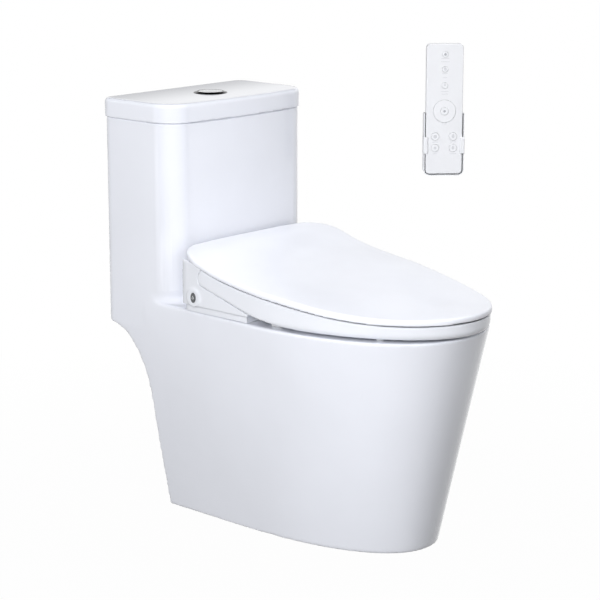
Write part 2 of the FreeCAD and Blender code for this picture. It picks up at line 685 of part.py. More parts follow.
def make_flush_valve_body():
    z0, z1 = FLOOR_Z + 4, VALVE_BODY_TOP_Z
    shell = ring_z(VALVE_BODY_R, VALVE_BODY_R - VALVE_WALL, 0, VALVE_Y, z0, z1)
    windows = []
    for k in range(4):
        window = box(VALVE_BODY_R - 10, VALVE_BODY_R + 2, VALVE_Y - 15, VALVE_Y + 15, z0 + 8, z0 + 62)
        window.rotate(V(0, VALVE_Y, 0), V(0, 0, 1), 45 + 90 * k)
        windows.append(window)
    shell = shell.cut(Part.makeCompound(windows))
    roof = ring_z(VALVE_BODY_R, LIFTER_ROD_R + SCREW_CLEARANCE, 0, VALVE_Y, z1 - 0.1, z1 + 4)
    ears = []
    lever_end = LEVER_X + LEVER_W
    for x0 in (-lever_end - SIDE_GAP - EAR_T, -EAR_T / 2, lever_end + SIDE_GAP):
        ear = box(x0, x0 + EAR_T, LEVER_PIVOT_Y - 7, LEVER_PIVOT_Y + 7, z1 + 3, LEVER_Z + 6)
        ears.append(ear)
    body = joined([shell, roof] + ears)
    bore = LEVER_PIN_R + LEVER_PIN_CLEARANCE
    return body.cut(cyl_x(bore, -40, 40, LEVER_PIVOT_Y, LEVER_Z))


def make_overflow_tube():
    return ring_z(OVERFLOW_R, OVERFLOW_R - 2, OVERFLOW_X, VALVE_Y, FLOOR_Z + 6, OVERFLOW_TOP_Z)


def make_flush_lever(side, reach_y):
    """Rocker under one rod; reach_y is where its far tip ends."""
    x0, x1 = sorted((side * LEVER_X, side * (LEVER_X + LEVER_W)))
    h = LEVER_T / 2
    bar = box(x0, x1, reach_y, BUTTON_Y + 5, LEVER_Z - h, LEVER_Z + h)
    hub = cyl_x(4.5, x0, x1, LEVER_PIVOT_Y, LEVER_Z)
    p0, p1 = sorted((side * (EAR_T / 2 - EAR_T), side * (LEVER_X + LEVER_W + SIDE_GAP + EAR_T)))
    if side > 0:
        p0 = 0.1
    else:
        p1 = -0.1
    return joined([bar, hub, cyl_x(LEVER_PIN_R, p0, p1, LEVER_PIVOT_Y, LEVER_Z)])


def make_valve_lifter():
    seat_top = FLOOR_Z + 8
    disc = cyl_z(VALVE_SEAT_R + 6, 0, VALVE_Y, seat_top + 3, seat_top + 7)
    cone = Part.makeCone(VALVE_SEAT_R + 4, LIFTER_ROD_R, 16, V(0, VALVE_Y, seat_top + 7))
    plate_z = LEVER_Z + LEVER_T / 2 + REST_GAP
    rod = cyl_z(LIFTER_ROD_R, 0, VALVE_Y, seat_top + 5, LEVER_Z - 14)
    neck = cyl_z(2.0, 0, VALVE_Y, LEVER_Z - 15, plate_z + 1)
    plate = box(-LEVER_X - 11, LEVER_X + 11, VALVE_Y - 7, VALVE_Y + 7, plate_z, plate_z + 3)
    return joined([disc, cone, rod, neck, plate])


def make_valve_seal():
    seat_top = FLOOR_Z + 8
    return ring_z(VALVE_SEAT_R + 5, VALVE_SEAT_R - 2, 0, VALVE_Y, seat_top, seat_top + 3)


# ---------------------------------------------------------------- fill valve
def make_fill_valve_body():
    tail_top = DECK_Z - FILL_NUT_T
    tail = cyl_z(FILL_TAIL_R, FILL_X, FILL_Y, tail_top - FILL_TAIL_L, tail_top)
    shank = cyl_z(FILL_SHANK_R, FILL_X, FILL_Y, tail_top, FLOOR_Z)
    flange = cyl_z(FILL_SHANK_R + 9, FILL_X, FILL_Y, FLOOR_Z, FLOOR_Z + 5)
    riser = cyl_z(FILL_RISER_R, FILL_X, FILL_Y, FLOOR_Z, FILL_TOP_Z)
    stop = cyl_z(FILL_RISER_R + 3, FILL_X, FILL_Y, FLOAT_REST_Z - 6, FLOAT_REST_Z - REST_GAP)
    body = joined([tail, shank, flange, riser, stop])
    return body.cut(cyl_z(FILL_RISER_R - 4, FILL_X, FILL_Y, APRON_Z, FILL_TOP_Z - 6))


def make_fill_valve_cap():
    cap = cyl_z(FILL_HEAD_R, FILL_X, FILL_Y, FILL_TOP_Z, FILL_TOP_Z + 34)
    cap = cap.makeFillet(5, [e for e in cap.Edges if e.BoundBox.ZMin > FILL_TOP_Z + 30])
    nipple = cyl_x(HOSE_R - 1, FILL_X, FILL_X + FILL_HEAD_R + 8, FILL_Y, FILL_TOP_Z + 18)
    return joined([cap, nipple])


def make_fill_float():
    cup = cyl_z(FLOAT_R, FILL_X, FILL_Y, FLOAT_REST_Z, FLOAT_REST_Z + FLOAT_H)
    cup = cup.makeFillet(4, [e for e in cup.Edges if e.BoundBox.ZMin > FLOAT_REST_Z + 1])
    bore_r = FILL_RISER_R + FLOAT_CLEARANCE
    return cup.cut(cyl_z(bore_r, FILL_X, FILL_Y, FLOAT_REST_Z - 1, FLOAT_REST_Z + FLOAT_H + 1))


def make_fill_valve_nut():
    flats = []
    for k in range(6):
        a = math.radians(60 * k)
        flats.append(V(FILL_X + FILL_NUT_R * math.cos(a), FILL_Y + FILL_NUT_R * math.sin(a), 0))
    hexagon = Part.makePolygon(flats + flats[:1])
    nut = prism(hexagon, DECK_Z - FILL_NUT_T, DECK_Z)
    return nut.cut(cyl_z(FILL_SHANK_R, FILL_X, FILL_Y, DECK_Z - FILL_NUT_T - 1, DECK_Z + 1))


def make_refill_tube():
    z = FILL_TOP_Z + 18
    x0 = FILL_X + FILL_HEAD_R
    top = OVERFLOW_TOP_Z + 34
    points = [V(x0, FILL_Y, z), V(x0 + 30, FILL_Y, z), V(-42, FILL_Y + 26, z + 5), V(8, FILL_Y + 26, z + 12)]
    points += [V(OVERFLOW_X - 6, FILL_Y, top - 2), V(OVERFLOW_X, VALVE_Y + 24, top), V(OVERFLOW_X, VALVE_Y, top - 6)]
    points += [V(OVERFLOW_X, VALVE_Y, OVERFLOW_TOP_Z - 16)]
    radii = []
    for i in range(1, len(points) - 1):
        run = min((points[i] - points[i - 1]).Length, (points[i + 1] - points[i]).Length)
        turn = math.pi - (points[i - 1] - points[i]).getAngle(points[i + 1] - points[i])
        radii.append(0.45 * run / math.tan(turn / 2))
    return swept_tube(rounded_path(points, radii), HOSE_R, HOSE_R - 1)


# ---------------------------------------------------------------- bidet seat: shared forms
def cover_outline(inset):
    """Plan of the seat cover: long round front, straight sides, rounded rear corners."""
    half = COVER_HALF_W - inset
    rear = COVER_REAR_Y - inset
    r = COVER_REAR_R - inset
    h = r * math.sqrt(0.5)
    x, y = half - r, rear - r
    front = superellipse_front(half, COVER_MID_Y, COVER_FRONT_Y + inset, 2.0, 0, 8)
    edges = [front]
    edges.append(Part.LineSegment(V(half, COVER_MID_Y, 0), V(half, y, 0)).toShape())
    edges.append(Part.Arc(V(half, y, 0), V(x + h, y + h, 0), V(x, rear, 0)).toShape())
    edges.append(Part.LineSegment(V(x, rear, 0), V(-x, rear, 0)).toShape())
    edges.append(Part.Arc(V(-x, rear, 0), V(-x - h, y + h, 0), V(-half, y, 0)).toShape())
    edges.append(Part.LineSegment(V(-half, y, 0), V(-half, COVER_MID_Y, 0)).toShape())
    return Part.Wire(edges)


def station_value(y, values):
    """Value at y on a smooth curve through the cover's stations."""
    last = len(EDGE_Y) - 1
    i = max(k for k in range(last) if EDGE_Y[k] <= y)
    slopes = []
    for k in (i, i + 1):
        before, after = max(k - 1, 0), min(k + 1, last)
        slopes.append((values[after] - values[before]) / (EDGE_Y[after] - EDGE_Y[before]))
    step = EDGE_Y[i + 1] - EDGE_Y[i]
    t = (y - EDGE_Y[i]) / step
    rise = values[i + 1] - values[i]
    bend = (slopes[0] * step - rise) * (1 - t) - (slopes[1] * step - rise) * t
    return values[i] + rise * t + t * (1 - t) * bend


def local_half_w(y):
    """Half width of the cover at y."""
    s = min(1.0, max(0.0, COVER_MID_Y - y) / (COVER_MID_Y - COVER_FRONT_Y))
    return max(COVER_HALF_W * math.sqrt(1 - s * s), COVER_HALF_W / 4)


def crowned_slab(crown, drop, thickness):
    """Slab under a surface that follows the cover's edge line, crowned across by a share of CROWN."""
    rows = []
    for i in range(SURFACE_ROWS):
        y = EDGE_Y[0] + (EDGE_Y[-1] - EDGE_Y[0]) * i / (SURFACE_ROWS - 1)
        half = local_half_w(y)
        row = []
        for k in range(-SURFACE_ROWS // 2, SURFACE_ROWS // 2 + 1):
            x = k * (COVER_HALF_W + 9) / (SURFACE_ROWS // 2)
            across = min(abs(x) / half, 1.1) ** CROWN_POWER
            lift = crown * station_value(y, CROWN) * (1 - across)
            row.append(V(x, y, station_value(y, EDGE_Z) + lift - drop))
        rows.append(row)
    surface = Part.BSplineSurface()
    surface.interpolate(rows)
    return surface.toShape().extrude(V(0, 0, -thickness))


def seam_profile(gap):
    """Side view of the ring's arms' under edge and rounded end, moved out by gap, as (y, z)."""
    r = SEAT_END_R + gap
    start = math.degrees(math.atan2(-SEAT_END_R, 2.0))
    points = [(SEAT_LINE_Y - 3, SEAT_LINE_Z - gap - 1.0)]
    for k in range(9):
        a = math.radians(start + k * 17.0)
        points.append((SEAT_END_Y + r * math.cos(a), SEAT_END_Z + r * math.sin(a)))
    return points


# ---------------------------------------------------------------- bidet seat: ring and cover
def seat_hole(grow):
    return oval(SEAT_HOLE_HALF_W + grow, SEAT_HOLE_FRONT_Y - grow, SEAT_HOLE_REAR_Y + grow, 2.15)


def ring_underside():
    """Side view of the ring's underside, rising smoothly from the deck gap to its rear seam."""
    top = SEAT_LINE_Z - 1
    points = []
    for k in range(9):
        s = k / 8
        points.append((blend(SEAT_RISE_Y, SEAT_LINE_Y - 3, s), SEAT_BOTTOM_Z + (top - SEAT_BOTTOM_Z) * s * s))
    return points


def ring_form(body):
    """Cut a body down to the ring: dished top, hole, risen underside, arms and nozzle arch."""
    top_drop = COVER_EDGE_T + SEAT_GAP
    ring = body.common(crowned_slab(SEAT_DISH, top_drop, 200))
    ring = ring.cut(prism(seat_hole(0), SEAT_BOTTOM_Z - 1, SEAT_BOTTOM_Z + 120))
    keep = [(-FAR, SEAT_BOTTOM_Z), (-FAR, FAR), (SEAT_END_Y, FAR)]
    keep += seam_profile(0)[:0:-1] + ring_underside()[::-1]
    arms = ring.common(extrude_yz(keep, -FAR, FAR))
    arms = arms.cut(box(-ARM_X, ARM_X, SEAT_BRIDGE_REAR_Y, FAR, 0, FAR))
    arms = arms.cut(box(-ARM_X, ARM_X, SEAT_LINE_Y - 3, FAR, 0, APRON_TOP_Z + 3))
    a = SEAT_ARCH_HALF_W
    return arms.cut(box(-a, a, SEAT_HOLE_REAR_Y - 30, FAR, 0, SEAT_ARCH_Z))


def hinge_arm(x0, x1, foot_y, foot_z, thick):
    """Knuckle round the hinge pin with an arm to (foot_y, foot_z)."""
    dy, dz = foot_y - HINGE_Y, foot_z - HINGE_Z
    length = math.hypot(dy, dz)
    ny, nz = -dz / length * thick / 2, dy / length * thick / 2
    web = [(HINGE_Y + ny, HINGE_Z + nz), (foot_y + ny, foot_z + nz), (foot_y - ny, foot_z - nz)]
    web.append((HINGE_Y - ny, HINGE_Z - nz))
    return joined([extrude_yz(web, x0, x1), cyl_x(KNUCKLE_R, x0, x1, HINGE_Y, HINGE_Z)])


def hinge_bore():
    return cyl_x(HINGE_PIN_R + HINGE_CLEARANCE, -FAR, FAR, HINGE_Y, HINGE_Z)


LID_KNUCKLE_X = KNUCKLE_X + EAR_W + SIDE_GAP
SEAT_KNUCKLE_X = LID_KNUCKLE_X + KNUCKLE_W + SIDE_GAP
OUTER_EAR_X = SEAT_KNUCKLE_X + KNUCKLE_W + SIDE_GAP


def make_seat_upper():
    upper = ring_form(prism(cover_outline(SEAT_INSET), SEAT_SPLIT_Z, SEAT_SPLIT_Z + 110))
    hollow = prism(cover_outline(SEAT_INSET + SEAT_WALL), SEAT_SPLIT_Z - 1, SEAT_SPLIT_Z + 100)
    hollow = hollow.cut(prism(seat_hole(SEAT_WALL), SEAT_SPLIT_Z - 2, SEAT_SPLIT_Z + 101))
    hollow = hollow.common(crowned_slab(SEAT_DISH, COVER_EDGE_T + SEAT_GAP + SEAT_WALL, 200))
    hollow = hollow.common(box(-FAR, FAR, -FAR, SEAT_HOLE_REAR_Y - 24, 0, FAR))
    upper = upper.cut(hollow)
    x0 = SEAT_KNUCKLE_X
    arms = mirrored_pair(hinge_arm(x0, x0 + KNUCKLE_W, SEAT_END_Y - 2, SEAT_END_Z + 2, 11))
    return joined([upper] + arms).cut(hinge_bore())


def make_seat_lower():
    """Lower shell, whose outside tucks in towards the deck."""
    wires = []
    for down, tuck in ((0.0, 0.0), (0.45, 0.2), (1.0, 1.0)):
        wire = cover_outline(SEAT_INSET + SEAT_TUCK * tuck)
        wire.translate(V(0, 0, blend(SEAT_SPLIT_Z, SEAT_BOTTOM_Z, down)))
        wires.append(wire)
    return ring_form(Part.makeLoft(wires[::-1], True, False))


def make_seat_heater():
    foil = crowned_slab(SEAT_DISH, COVER_EDGE_T + SEAT_GAP + SEAT_WALL + REST_GAP, 0.8)
    area = prism(cover_outline(SEAT_INSET + SEAT_WALL + 12), SEAT_SPLIT_Z, SEAT_SPLIT_Z + 100)
    area = area.cut(prism(seat_hole(SEAT_WALL + 12), SEAT_SPLIT_Z - 1, SEAT_SPLIT_Z + 101))
    area = area.common(box(-FAR, FAR, -FAR, SEAT_HOLE_REAR_Y - 30, 0, FAR))
    return foil.common(area)


BUFFER_SPOTS = ((158.0, -117.0, 0.0), (112.0, -303.0, 45.0))  # x, y, turn


def make_seat_buffers():
    pads = []
    for x, y, turn in BUFFER_SPOTS:
        pad = box(x - BUFFER_W / 2, x + BUFFER_W / 2, y - BUFFER_L / 2, y + BUFFER_L / 2,
                  DECK_Z + REST_GAP, SEAT_SPLIT_Z - 1)
        pad = pad.makeFillet(3, [e for e in pad.Edges if abs(e.tangentAt(0).z) > 0.9])
        pad.rotate(V(x, y, 0), V(0, 0, 1), turn)
        pads += mirrored_pair(pad)
    ring = make_seat_lower()
    return Part.makeCompound([pad.cut(ring) for pad in pads])


def top_rim(shell):
    """Edges round the top of the cover's blank."""
    rim = []
    for edge in shell.Edges:
        middle = edge.valueAt((edge.FirstParameter + edge.LastParameter) / 2)
        if middle.z > station_value(middle.y, EDGE_Z) - COVER_EDGE_R and edge.Length > 2 * COVER_EDGE_T:
            rim.append(edge)
    return rim


def make_seat_lid():
    shell = prism(cover_outline(0), DECK_Z, DECK_Z + 150)
    shell = shell.common(crowned_slab(1.0, 0, COVER_EDGE_T))
    shell = shell.makeFillet(COVER_EDGE_R, top_rim(shell))
    room = prism(cover_outline(COVER_LIP), DECK_Z, DECK_Z + 150)
    room = room.common(crowned_slab(1.0, COVER_SKIN, 60))
    shell = shell.cut(room)
    x0 = LID_KNUCKLE_X
    webs = []
    web = box(x0, x0 + KNUCKLE_W, HINGE_Y - KNUCKLE_R, HINGE_Y + KNUCKLE_R, HINGE_Z, HINGE_Z + 40)
    web = web.common(crowned_slab(1.0, COVER_SKIN - 1, 60))
    knuckle = joined([web, cyl_x(KNUCKLE_R, x0, x0 + KNUCKLE_W, HINGE_Y, HINGE_Z)])
    webs += mirrored_pair(knuckle)
    return joined([shell] + webs).cut(hinge_bore())


LID_BUFFER_SPOTS = ((148.0, -200.0), (76.0, -358.0))  # x, y


def make_lid_buffers():
    """Pads between the cover's skin and the ring's top face."""
    column = []
    for x, y in LID_BUFFER_SPOTS:
        column += mirrored_pair(cyl_z(6, x, y, SEAT_BOTTOM_Z, SEAT_BOTTOM_Z + 100))
    above_ring = crowned_slab(SEAT_DISH, COVER_EDGE_T + SEAT_GAP - REST_GAP, 200)
    under_skin = crowned_slab(1.0, COVER_SKIN, 200)
    pads = [c.common(under_skin).cut(above_ring) for c in column]
    return Part.makeCompound(pads)


def make_hinge_pins():
    end = OUTER_EAR_X + EAR_W - 2
    return Part.makeCompound(mirrored_pair(cyl_x(HINGE_PIN_R, KNUCKLE_X + 2, end, HINGE_Y, HINGE_Z)))


# ---------------------------------------------------------------- bidet seat: housing
def housing_plan(inset):
    """Plan of the housing: square front, rounded rear corners."""
    half = HOUSING_HALF_W - inset
    rear = HOUSING_REAR_Y - inset
    front = HOUSING_FRONT_Y + inset
    blank = Part.makeBox(2 * half, rear - front, 1, V(-half, front, 0))
    corners = [e for e in blank.Edges if abs(e.tangentAt(0).z) > 0.9 and e.BoundBox.YMin > 0]
    blank = blank.makeFillet(HOUSING_REAR_R - inset, corners)
    floor = [f for f in blank.Faces if f.BoundBox.ZMax < 0.01][0]
    return floor.OuterWire


def under_cover():
    """Space the housing may fill under the closed cover."""
    return crowned_slab(1.0, COVER_EDGE_T + HOUSING_GAP, 200)


def housing_blank():
    plan = prism(housing_plan(0), HOUSING_COVER_Z, HOUSING_COVER_Z + 100)
    ends = [(HOUSING_FRONT_Y, 0.0)] + [(HOUSING_FRONT_Y, SEAT_LINE_Z - HOUSING_GAP - 1)]
    ends += seam_profile(HOUSING_GAP)[1:]
    ends += [(SEAT_END_Y + 6, FAR), (FAR, FAR), (FAR, 0.0)]
    hump = [(HOUSING_FRONT_Y, 0.0), (HOUSING_FRONT_Y, APRON_TOP_Z), (HUMP_FRONT_Y, APRON_TOP_Z)]
    hump += [(HUMP_FRONT_Y, 446.0), (HUMP_FRONT_Y + 6, 455.0), (20.0, 466.0), (70.0, 479.0)]
    hump += [(FAR, 479.0 + 50), (FAR, 0.0)]
    nose = [(HOUSING_FRONT_Y, 0.0), (HOUSING_FRONT_Y, NOSE_TOP_Z - 5), (HOUSING_FRONT_Y + 5, NOSE_TOP_Z)]
    nose += [(HUMP_FRONT_Y + 5, NOSE_TOP_Z), (HUMP_FRONT_Y + 5, 0.0)]
    inner = ARM_X - SIDE_GAP
    shapes = [plan.common(extrude_yz(hump, -inner, inner))]
    shapes += [plan.common(extrude_yz(ends, inner - 0.5, FAR))]
    shapes += [plan.common(extrude_yz(ends, -FAR, -inner + 0.5))]
    shapes += [plan.common(extrude_yz(nose, -NOSE_HALF_W, NOSE_HALF_W))]
    blank = joined(shapes).common(under_cover())
    top_y = HOUSING_REAR_Y - 2 * HOUSING_LEAN
    top_z = HOUSING_LEAN_Z + 2 * HOUSING_LEAN_RISE
    lean = [(HOUSING_REAR_Y, HOUSING_LEAN_Z), (top_y, top_z), (FAR, top_z), (FAR, HOUSING_LEAN_Z)]
    return blank.cut(extrude_yz(lean, -FAR, FAR))


def cover_rear_y(x):
    """Rear edge of the cover's plan at x, round its corner."""
    past = max(0.0, abs(x) - (COVER_HALF_W - COVER_REAR_R))
    return COVER_REAR_Y - COVER_REAR_R + math.sqrt(COVER_REAR_R ** 2 - past ** 2)


def rear_reach(x):
    """How far from the hinge the cover's rear edge turns, with room to spare."""
    across = (abs(x) / COVER_HALF_W) ** CROWN_POWER
    top = EDGE_Z[-1] + CROWN[-1] * (1 - across)
    return math.hypot(cover_rear_y(x) - HINGE_Y, top - HINGE_Z) + RELIEF_GAP


def rear_sweep():
    """Half spindle behind the hinge in which the cover's rear edge turns."""
    wide = HOUSING_HALF_W - RELIEF_WALL
    steps = 24
    spots = [-wide + 2 * wide * k / steps for k in range(steps + 1)]
    rim = [V(x, HINGE_Y, HINGE_Z + rear_reach(x)) for x in spots]
    axis = [V(-wide, HINGE_Y, HINGE_Z), V(wide, HINGE_Y, HINGE_Z)]
    wire = Part.makePolygon(axis[:1] + rim + axis[::-1])
    spindle = Part.Face(wire).revolve(V(0, HINGE_Y, HINGE_Z), V(1, 0, 0), 360)
    return spindle.common(box(-FAR, FAR, HINGE_Y - 1, FAR, 0, FAR))


def hinge_relief():
    """Room behind and round the hinge for the cover's rear edge and the knuckles."""
    x0 = LID_KNUCKLE_X - SIDE_GAP
    x1 = OUTER_EAR_X
    knuckles = mirrored_pair(cyl_x(KNUCKLE_R + RELIEF_GAP, x0, x1, HINGE_Y, HINGE_Z))
    floor_z = HINGE_Z - 12
    slot = [(SEAT_END_Y - 12, SEAT_END_Z - SEAT_END_R + 1), (SEAT_END_Y + 12, SEAT_END_Z - SEAT_END_R + 3)]
    slot += [(HINGE_Y - 4, floor_z), (HINGE_Y + 12, floor_z), (HINGE_Y + 12, FAR), (SEAT_END_Y - 12, FAR)]
    slots = mirrored_pair(extrude_yz(slot, SEAT_KNUCKLE_X - SIDE_GAP, x1))
    return [rear_sweep()] + knuckles + slots


def make_housing_cover():
    cover = housing_blank()
    for tool in hinge_relief():
        cover = cover.cut(tool)
    ears = []
    for x0 in (KNUCKLE_X, OUTER_EAR_X):
        ear = cyl_x(KNUCKLE_R, x0, x0 + EAR_W, HINGE_Y, HINGE_Z)
        foot = box(x0, x0 + EAR_W, HINGE_Y - KNUCKLE_R, HINGE_Y - 2, HINGE_Z - 34, HINGE_Z)
        ears += mirrored_pair(joined([ear, foot]))
    cover = joined([cover] + ears)
    cover = cover.cut(cyl_x(HINGE_PIN_R, -FAR, FAR, HINGE_Y, HINGE_Z).common(
        box(-OUTER_EAR_X - EAR_W + 2, OUTER_EAR_X + EAR_W - 2, -FAR, FAR, 0, FAR)))
    t = HOUSING_SKIN
    room = [(HUMP_FRONT_Y + t, HOUSING_COVER_Z - 1), (HUMP_FRONT_Y + t, 445.0), (HUMP_FRONT_Y + t + 5, 451.0)]
    ceiling = HINGE_Z - rear_reach(0) - t
    leaned = (ceiling - HOUSING_LEAN_Z) * HOUSING_LEAN / HOUSING_LEAN_RISE
    rear = HOUSING_REAR_Y - t
    room += [(20.0, 462.0), (HINGE_Y - 14, 470.0), (HINGE_Y - 14, ceiling), (rear - leaned, ceiling)]
    room += [(rear, HOUSING_LEAN_Z), (rear, HOUSING_COVER_Z - 1)]
    cover = cover.cut(extrude_yz(room, -KNUCKLE_X + t, KNUCKLE_X - t))
    boss = cyl_x(SIDE_BOSS_R, -HOUSING_HALF_W - SIDE_BOSS_H, -HOUSING_HALF_W + 4, SIDE_BUTTON_Y, SIDE_BUTTON_Z)
    face = [e for e in boss.Edges if e.BoundBox.XMax < -HOUSING_HALF_W - 1]
    boss = boss.makeFillet(1.2, face)
    cover = joined([cover, boss])
    cover = cover.cut(side_oval(SIDE_RING_T, -FAR, -HOUSING_HALF_W + SIDE_WELL))
    return cover.cut(nozzle_rod(NOZZLE_R + NOZZLE_CLEARANCE, -20, 70))


def plinth_walls():
    """Low walls round the base's sides and rear corners, open where it slides over its plate."""
    z0 = DECK_Z + PLINTH_GAP
    walls = prism(housing_plan(PLINTH_INSET), z0, HOUSING_BASE_Z + 1)
    walls = walls.cut(prism(housing_plan(PLINTH_INSET + PLINTH_WALL), z0 - 1, HOUSING_BASE_Z))
    clear = PLATE_HALF_W + PLINTH_WALL
    return walls.cut(box(-clear, clear, -FAR, FAR, z0 - 1, HOUSING_BASE_Z))


def make_housing_base():
    plate = prism(housing_plan(PLINTH_INSET), HOUSING_BASE_Z, HOUSING_COVER_Z)
    plate = joined([plate, plinth_walls()])
    for side in (-1, 1):
        x0, x1 = sorted((side * (RAIL_X - 0.5), side * (RAIL_X + RAIL_W + 0.5)))
        plate = plate.cut(box(x0, x1, PLATE_FRONT_Y - 45, FAR, HOUSING_BASE_Z - 1, HOUSING_BASE_Z + RAIL_H))
        head = cyl_z(SEAT_BOLT_HOLE_R + 4, side * SEAT_BOLT_SPACING / 2, SEAT_BOLT_Y, HOUSING_BASE_Z - 1, FAR)
        track = box(head.BoundBox.XMin, head.BoundBox.XMax, SEAT_BOLT_Y, FAR, HOUSING_BASE_Z - 1, FAR)
        plate = plate.cut(joined([head, track]))
    return plate


def make_mounting_plate():
    plate = box(-PLATE_HALF_W, PLATE_HALF_W, PLATE_FRONT_Y, PLATE_REAR_Y, DECK_Z, DECK_Z + PLATE_T)
    plate = plate.makeFillet(8, [e for e in plate.Edges if abs(e.tangentAt(0).z) > 0.9])
    rails = []
    for side in (-1, 1):
        x0, x1 = sorted((side * RAIL_X, side * (RAIL_X + RAIL_W)))
        rail_top = HOUSING_BASE_Z + RAIL_H - 0.3
        rails.append(box(x0, x1, PLATE_FRONT_Y + 6, SEAT_BOLT_Y + 16, DECK_Z + PLATE_T, rail_top))
    plate = joined([plate] + rails)
    for side in (-1, 1):
        x = side * SEAT_BOLT_SPACING / 2
        plate = plate.cut(cyl_z(SEAT_BOLT_R + SCREW_CLEARANCE, x, SEAT_BOLT_Y, DECK_Z - 1, HOUSING_BASE_Z + 9))
    return plate


def make_plate_bolts():
    bolts = []
    for side in (-1, 1):
        x = side * SEAT_BOLT_SPACING / 2
        shank = cyl_z(SEAT_BOLT_R, x, SEAT_BOLT_Y, DECK_Z - DECK_T - 26, DECK_Z + PLATE_T)
        head = cyl_z(SEAT_BOLT_R + 3.5, x, SEAT_BOLT_Y, DECK_Z + PLATE_T, DECK_Z + PLATE_T + 3)
        bolts.append(joined([shank, head]))
    return Part.makeCompound(bolts)


def make_plate_nuts():
    nuts = []
    for side in (-1, 1):
        x = side * SEAT_BOLT_SPACING / 2
        under = DECK_Z - DECK_T
        cone = Part.makeCone(10, 16, 10, V(x, SEAT_BOLT_Y, under - 16))
        nut = joined([cone, cyl_z(16, x, SEAT_BOLT_Y, under - 6, under)])
        nuts.append(nut.cut(cyl_z(SEAT_BOLT_R, x, SEAT_BOLT_Y, under - 30, under + 1)))
    return Part.makeCompound(nuts)


def nozzle_rod(r, start, length):
    """Cylinder on the nozzle's slanted axis, from start behind its tip."""
    a = math.radians(NOZZLE_DEG)
    along = V(0, math.cos(a), math.sin(a))
    tip = V(0, NOZZLE_TIP_Y, NOZZLE_TIP_Z)
    return Part.makeCylinder(r, length, tip + along * start, along)


def make_wash_nozzle():
    rod = nozzle_rod(NOZZLE_R, 0, NOZZLE_L)
    rod = rod.makeFillet(2.5, [rod.Edges[i] for i in range(len(rod.Edges))
                               if rod.Edges[i].BoundBox.YMax < NOZZLE_TIP_Y + 4])
    jets = []
    for back in (7.0, 13.0):
        a = math.radians(NOZZLE_DEG)
        spot = V(0, NOZZLE_TIP_Y, NOZZLE_TIP_Z) + V(0, math.cos(a), math.sin(a)) * back
        jets.append(Part.makeCylinder(1.1, 10, spot, V(0, -math.sin(a), math.cos(a))))
    return rod.cut(Part.makeCompound(jets))


def make_nozzle_guide():
    r = NOZZLE_R + NOZZLE_CLEARANCE
    tube = nozzle_rod(r + 2.5, 44, 26).cut(nozzle_rod(r, 36, 60))
    foot = box(-8, 8, -8, 8, HOUSING_COVER_Z, 440)
    foot = foot.cut(nozzle_rod(r + 2, 0, 150))
    below = extrude_yz([(-20.0, 0.0), (20.0, 0.0), (20.0, 442.0), (-20.0, 427.0)], -20, 20)
    return joined([tube, foot.common(below)])


def make_water_heater():
    tank = box(52, 116, -18, 40, HOUSING_COVER_Z, 440)
    tank = tank.makeFillet(6, [e for e in tank.Edges if abs(e.tangentAt(0).z) > 0.9])
    ports = [cyl_z(4, 70, 10, 439, 450), cyl_z(4, 98, 10, 439, 450)]
    return joined([tank] + ports)


def make_inlet_valve():
    body = box(-62, -34, 20, 60, HOUSING_COVER_Z, 432)
    coil = cyl_z(11, -48, 34, 431, 452)
    elbow = cyl_y(6, -48, 59, HOUSING_REAR_Y - HOUSING_SKIN, 414)
    return joined([body, coil, elbow])


def make_circuit_board():
    board = box(-118, -70, -20, 50, HOUSING_COVER_Z + 6, HOUSING_COVER_Z + 7.6)
    posts = [cyl_z(2.5, x, y, HOUSING_COVER_Z, HOUSING_COVER_Z + 6.5) for x in (-114, -74) for y in (-16, 46)]
    parts = [box(-108, -92, -10, 6, HOUSING_COVER_Z + 7.5, 424), cyl_z(7, -84, 30, HOUSING_COVER_Z + 7.5, 432)]
    parts.append(box(-112, -98, 22, 42, HOUSING_COVER_Z + 7.5, 418))
    return joined([board] + posts + parts)


def side_oval(grow, x0, x1):
    """Upright oval peg in the housing's left side, grown all round by grow."""
    half_y = SIDE_BUTTON_W / 2 + grow
    peg = prism(oval(SIDE_BUTTON_H / 2 + grow, -half_y, half_y, 2.0), 0, x1 - x0)
    peg.rotate(V(0, 0, 0), V(0, 1, 0), 90)
    peg.translate(V(x0, SIDE_BUTTON_Y, SIDE_BUTTON_Z))
    return peg


def make_side_button():
    outer = -HOUSING_HALF_W - SIDE_BOSS_H - 0.4
    knob = side_oval(-REST_GAP, outer, -HOUSING_HALF_W + SIDE_WELL - 3)
    return knob.makeFillet(1.0, [e for e in knob.Edges if e.BoundBox.XMax < outer + 0.5])


def make_side_button_ring():
    x0 = -HOUSING_HALF_W - SIDE_BOSS_H - 0.2
    return side_oval(SIDE_RING_T, x0, x0 + SIDE_RING_L).cut(side_oval(0.1, x0 - 1, x0 + SIDE_RING_L + 1))


# ---------------------------------------------------------------- remote control
def placed(shape):
    """Turn and move a shape from the remote's own frame to its place."""
    moved = shape.copy()
    moved.rotate(V(0, 0, 0), V(0, 0, 1), REMOTE_TURN_DEG)
    moved.translate(V(REMOTE_X, REMOTE_Y, REMOTE_Z))
    return moved


def key_spots():
    """Name, x, z and radius of each round key, in the remote's frame."""
    top = REMOTE_H / 2
    spots = []
    for i, drop in enumerate(UPPER_KEY_DROPS):
        spots.append(("upper_key_%d" % (i + 1), 0.0, top - drop, UPPER_KEY_R))
    number = 1
    for drop in LOWER_KEY_DROPS:
        for side in (-1, 1):
            spots.append(("lower_key_%d" % number, side * LOWER_KEY_X, top - drop, LOWER_KEY_R))
            number += 1
    return spots


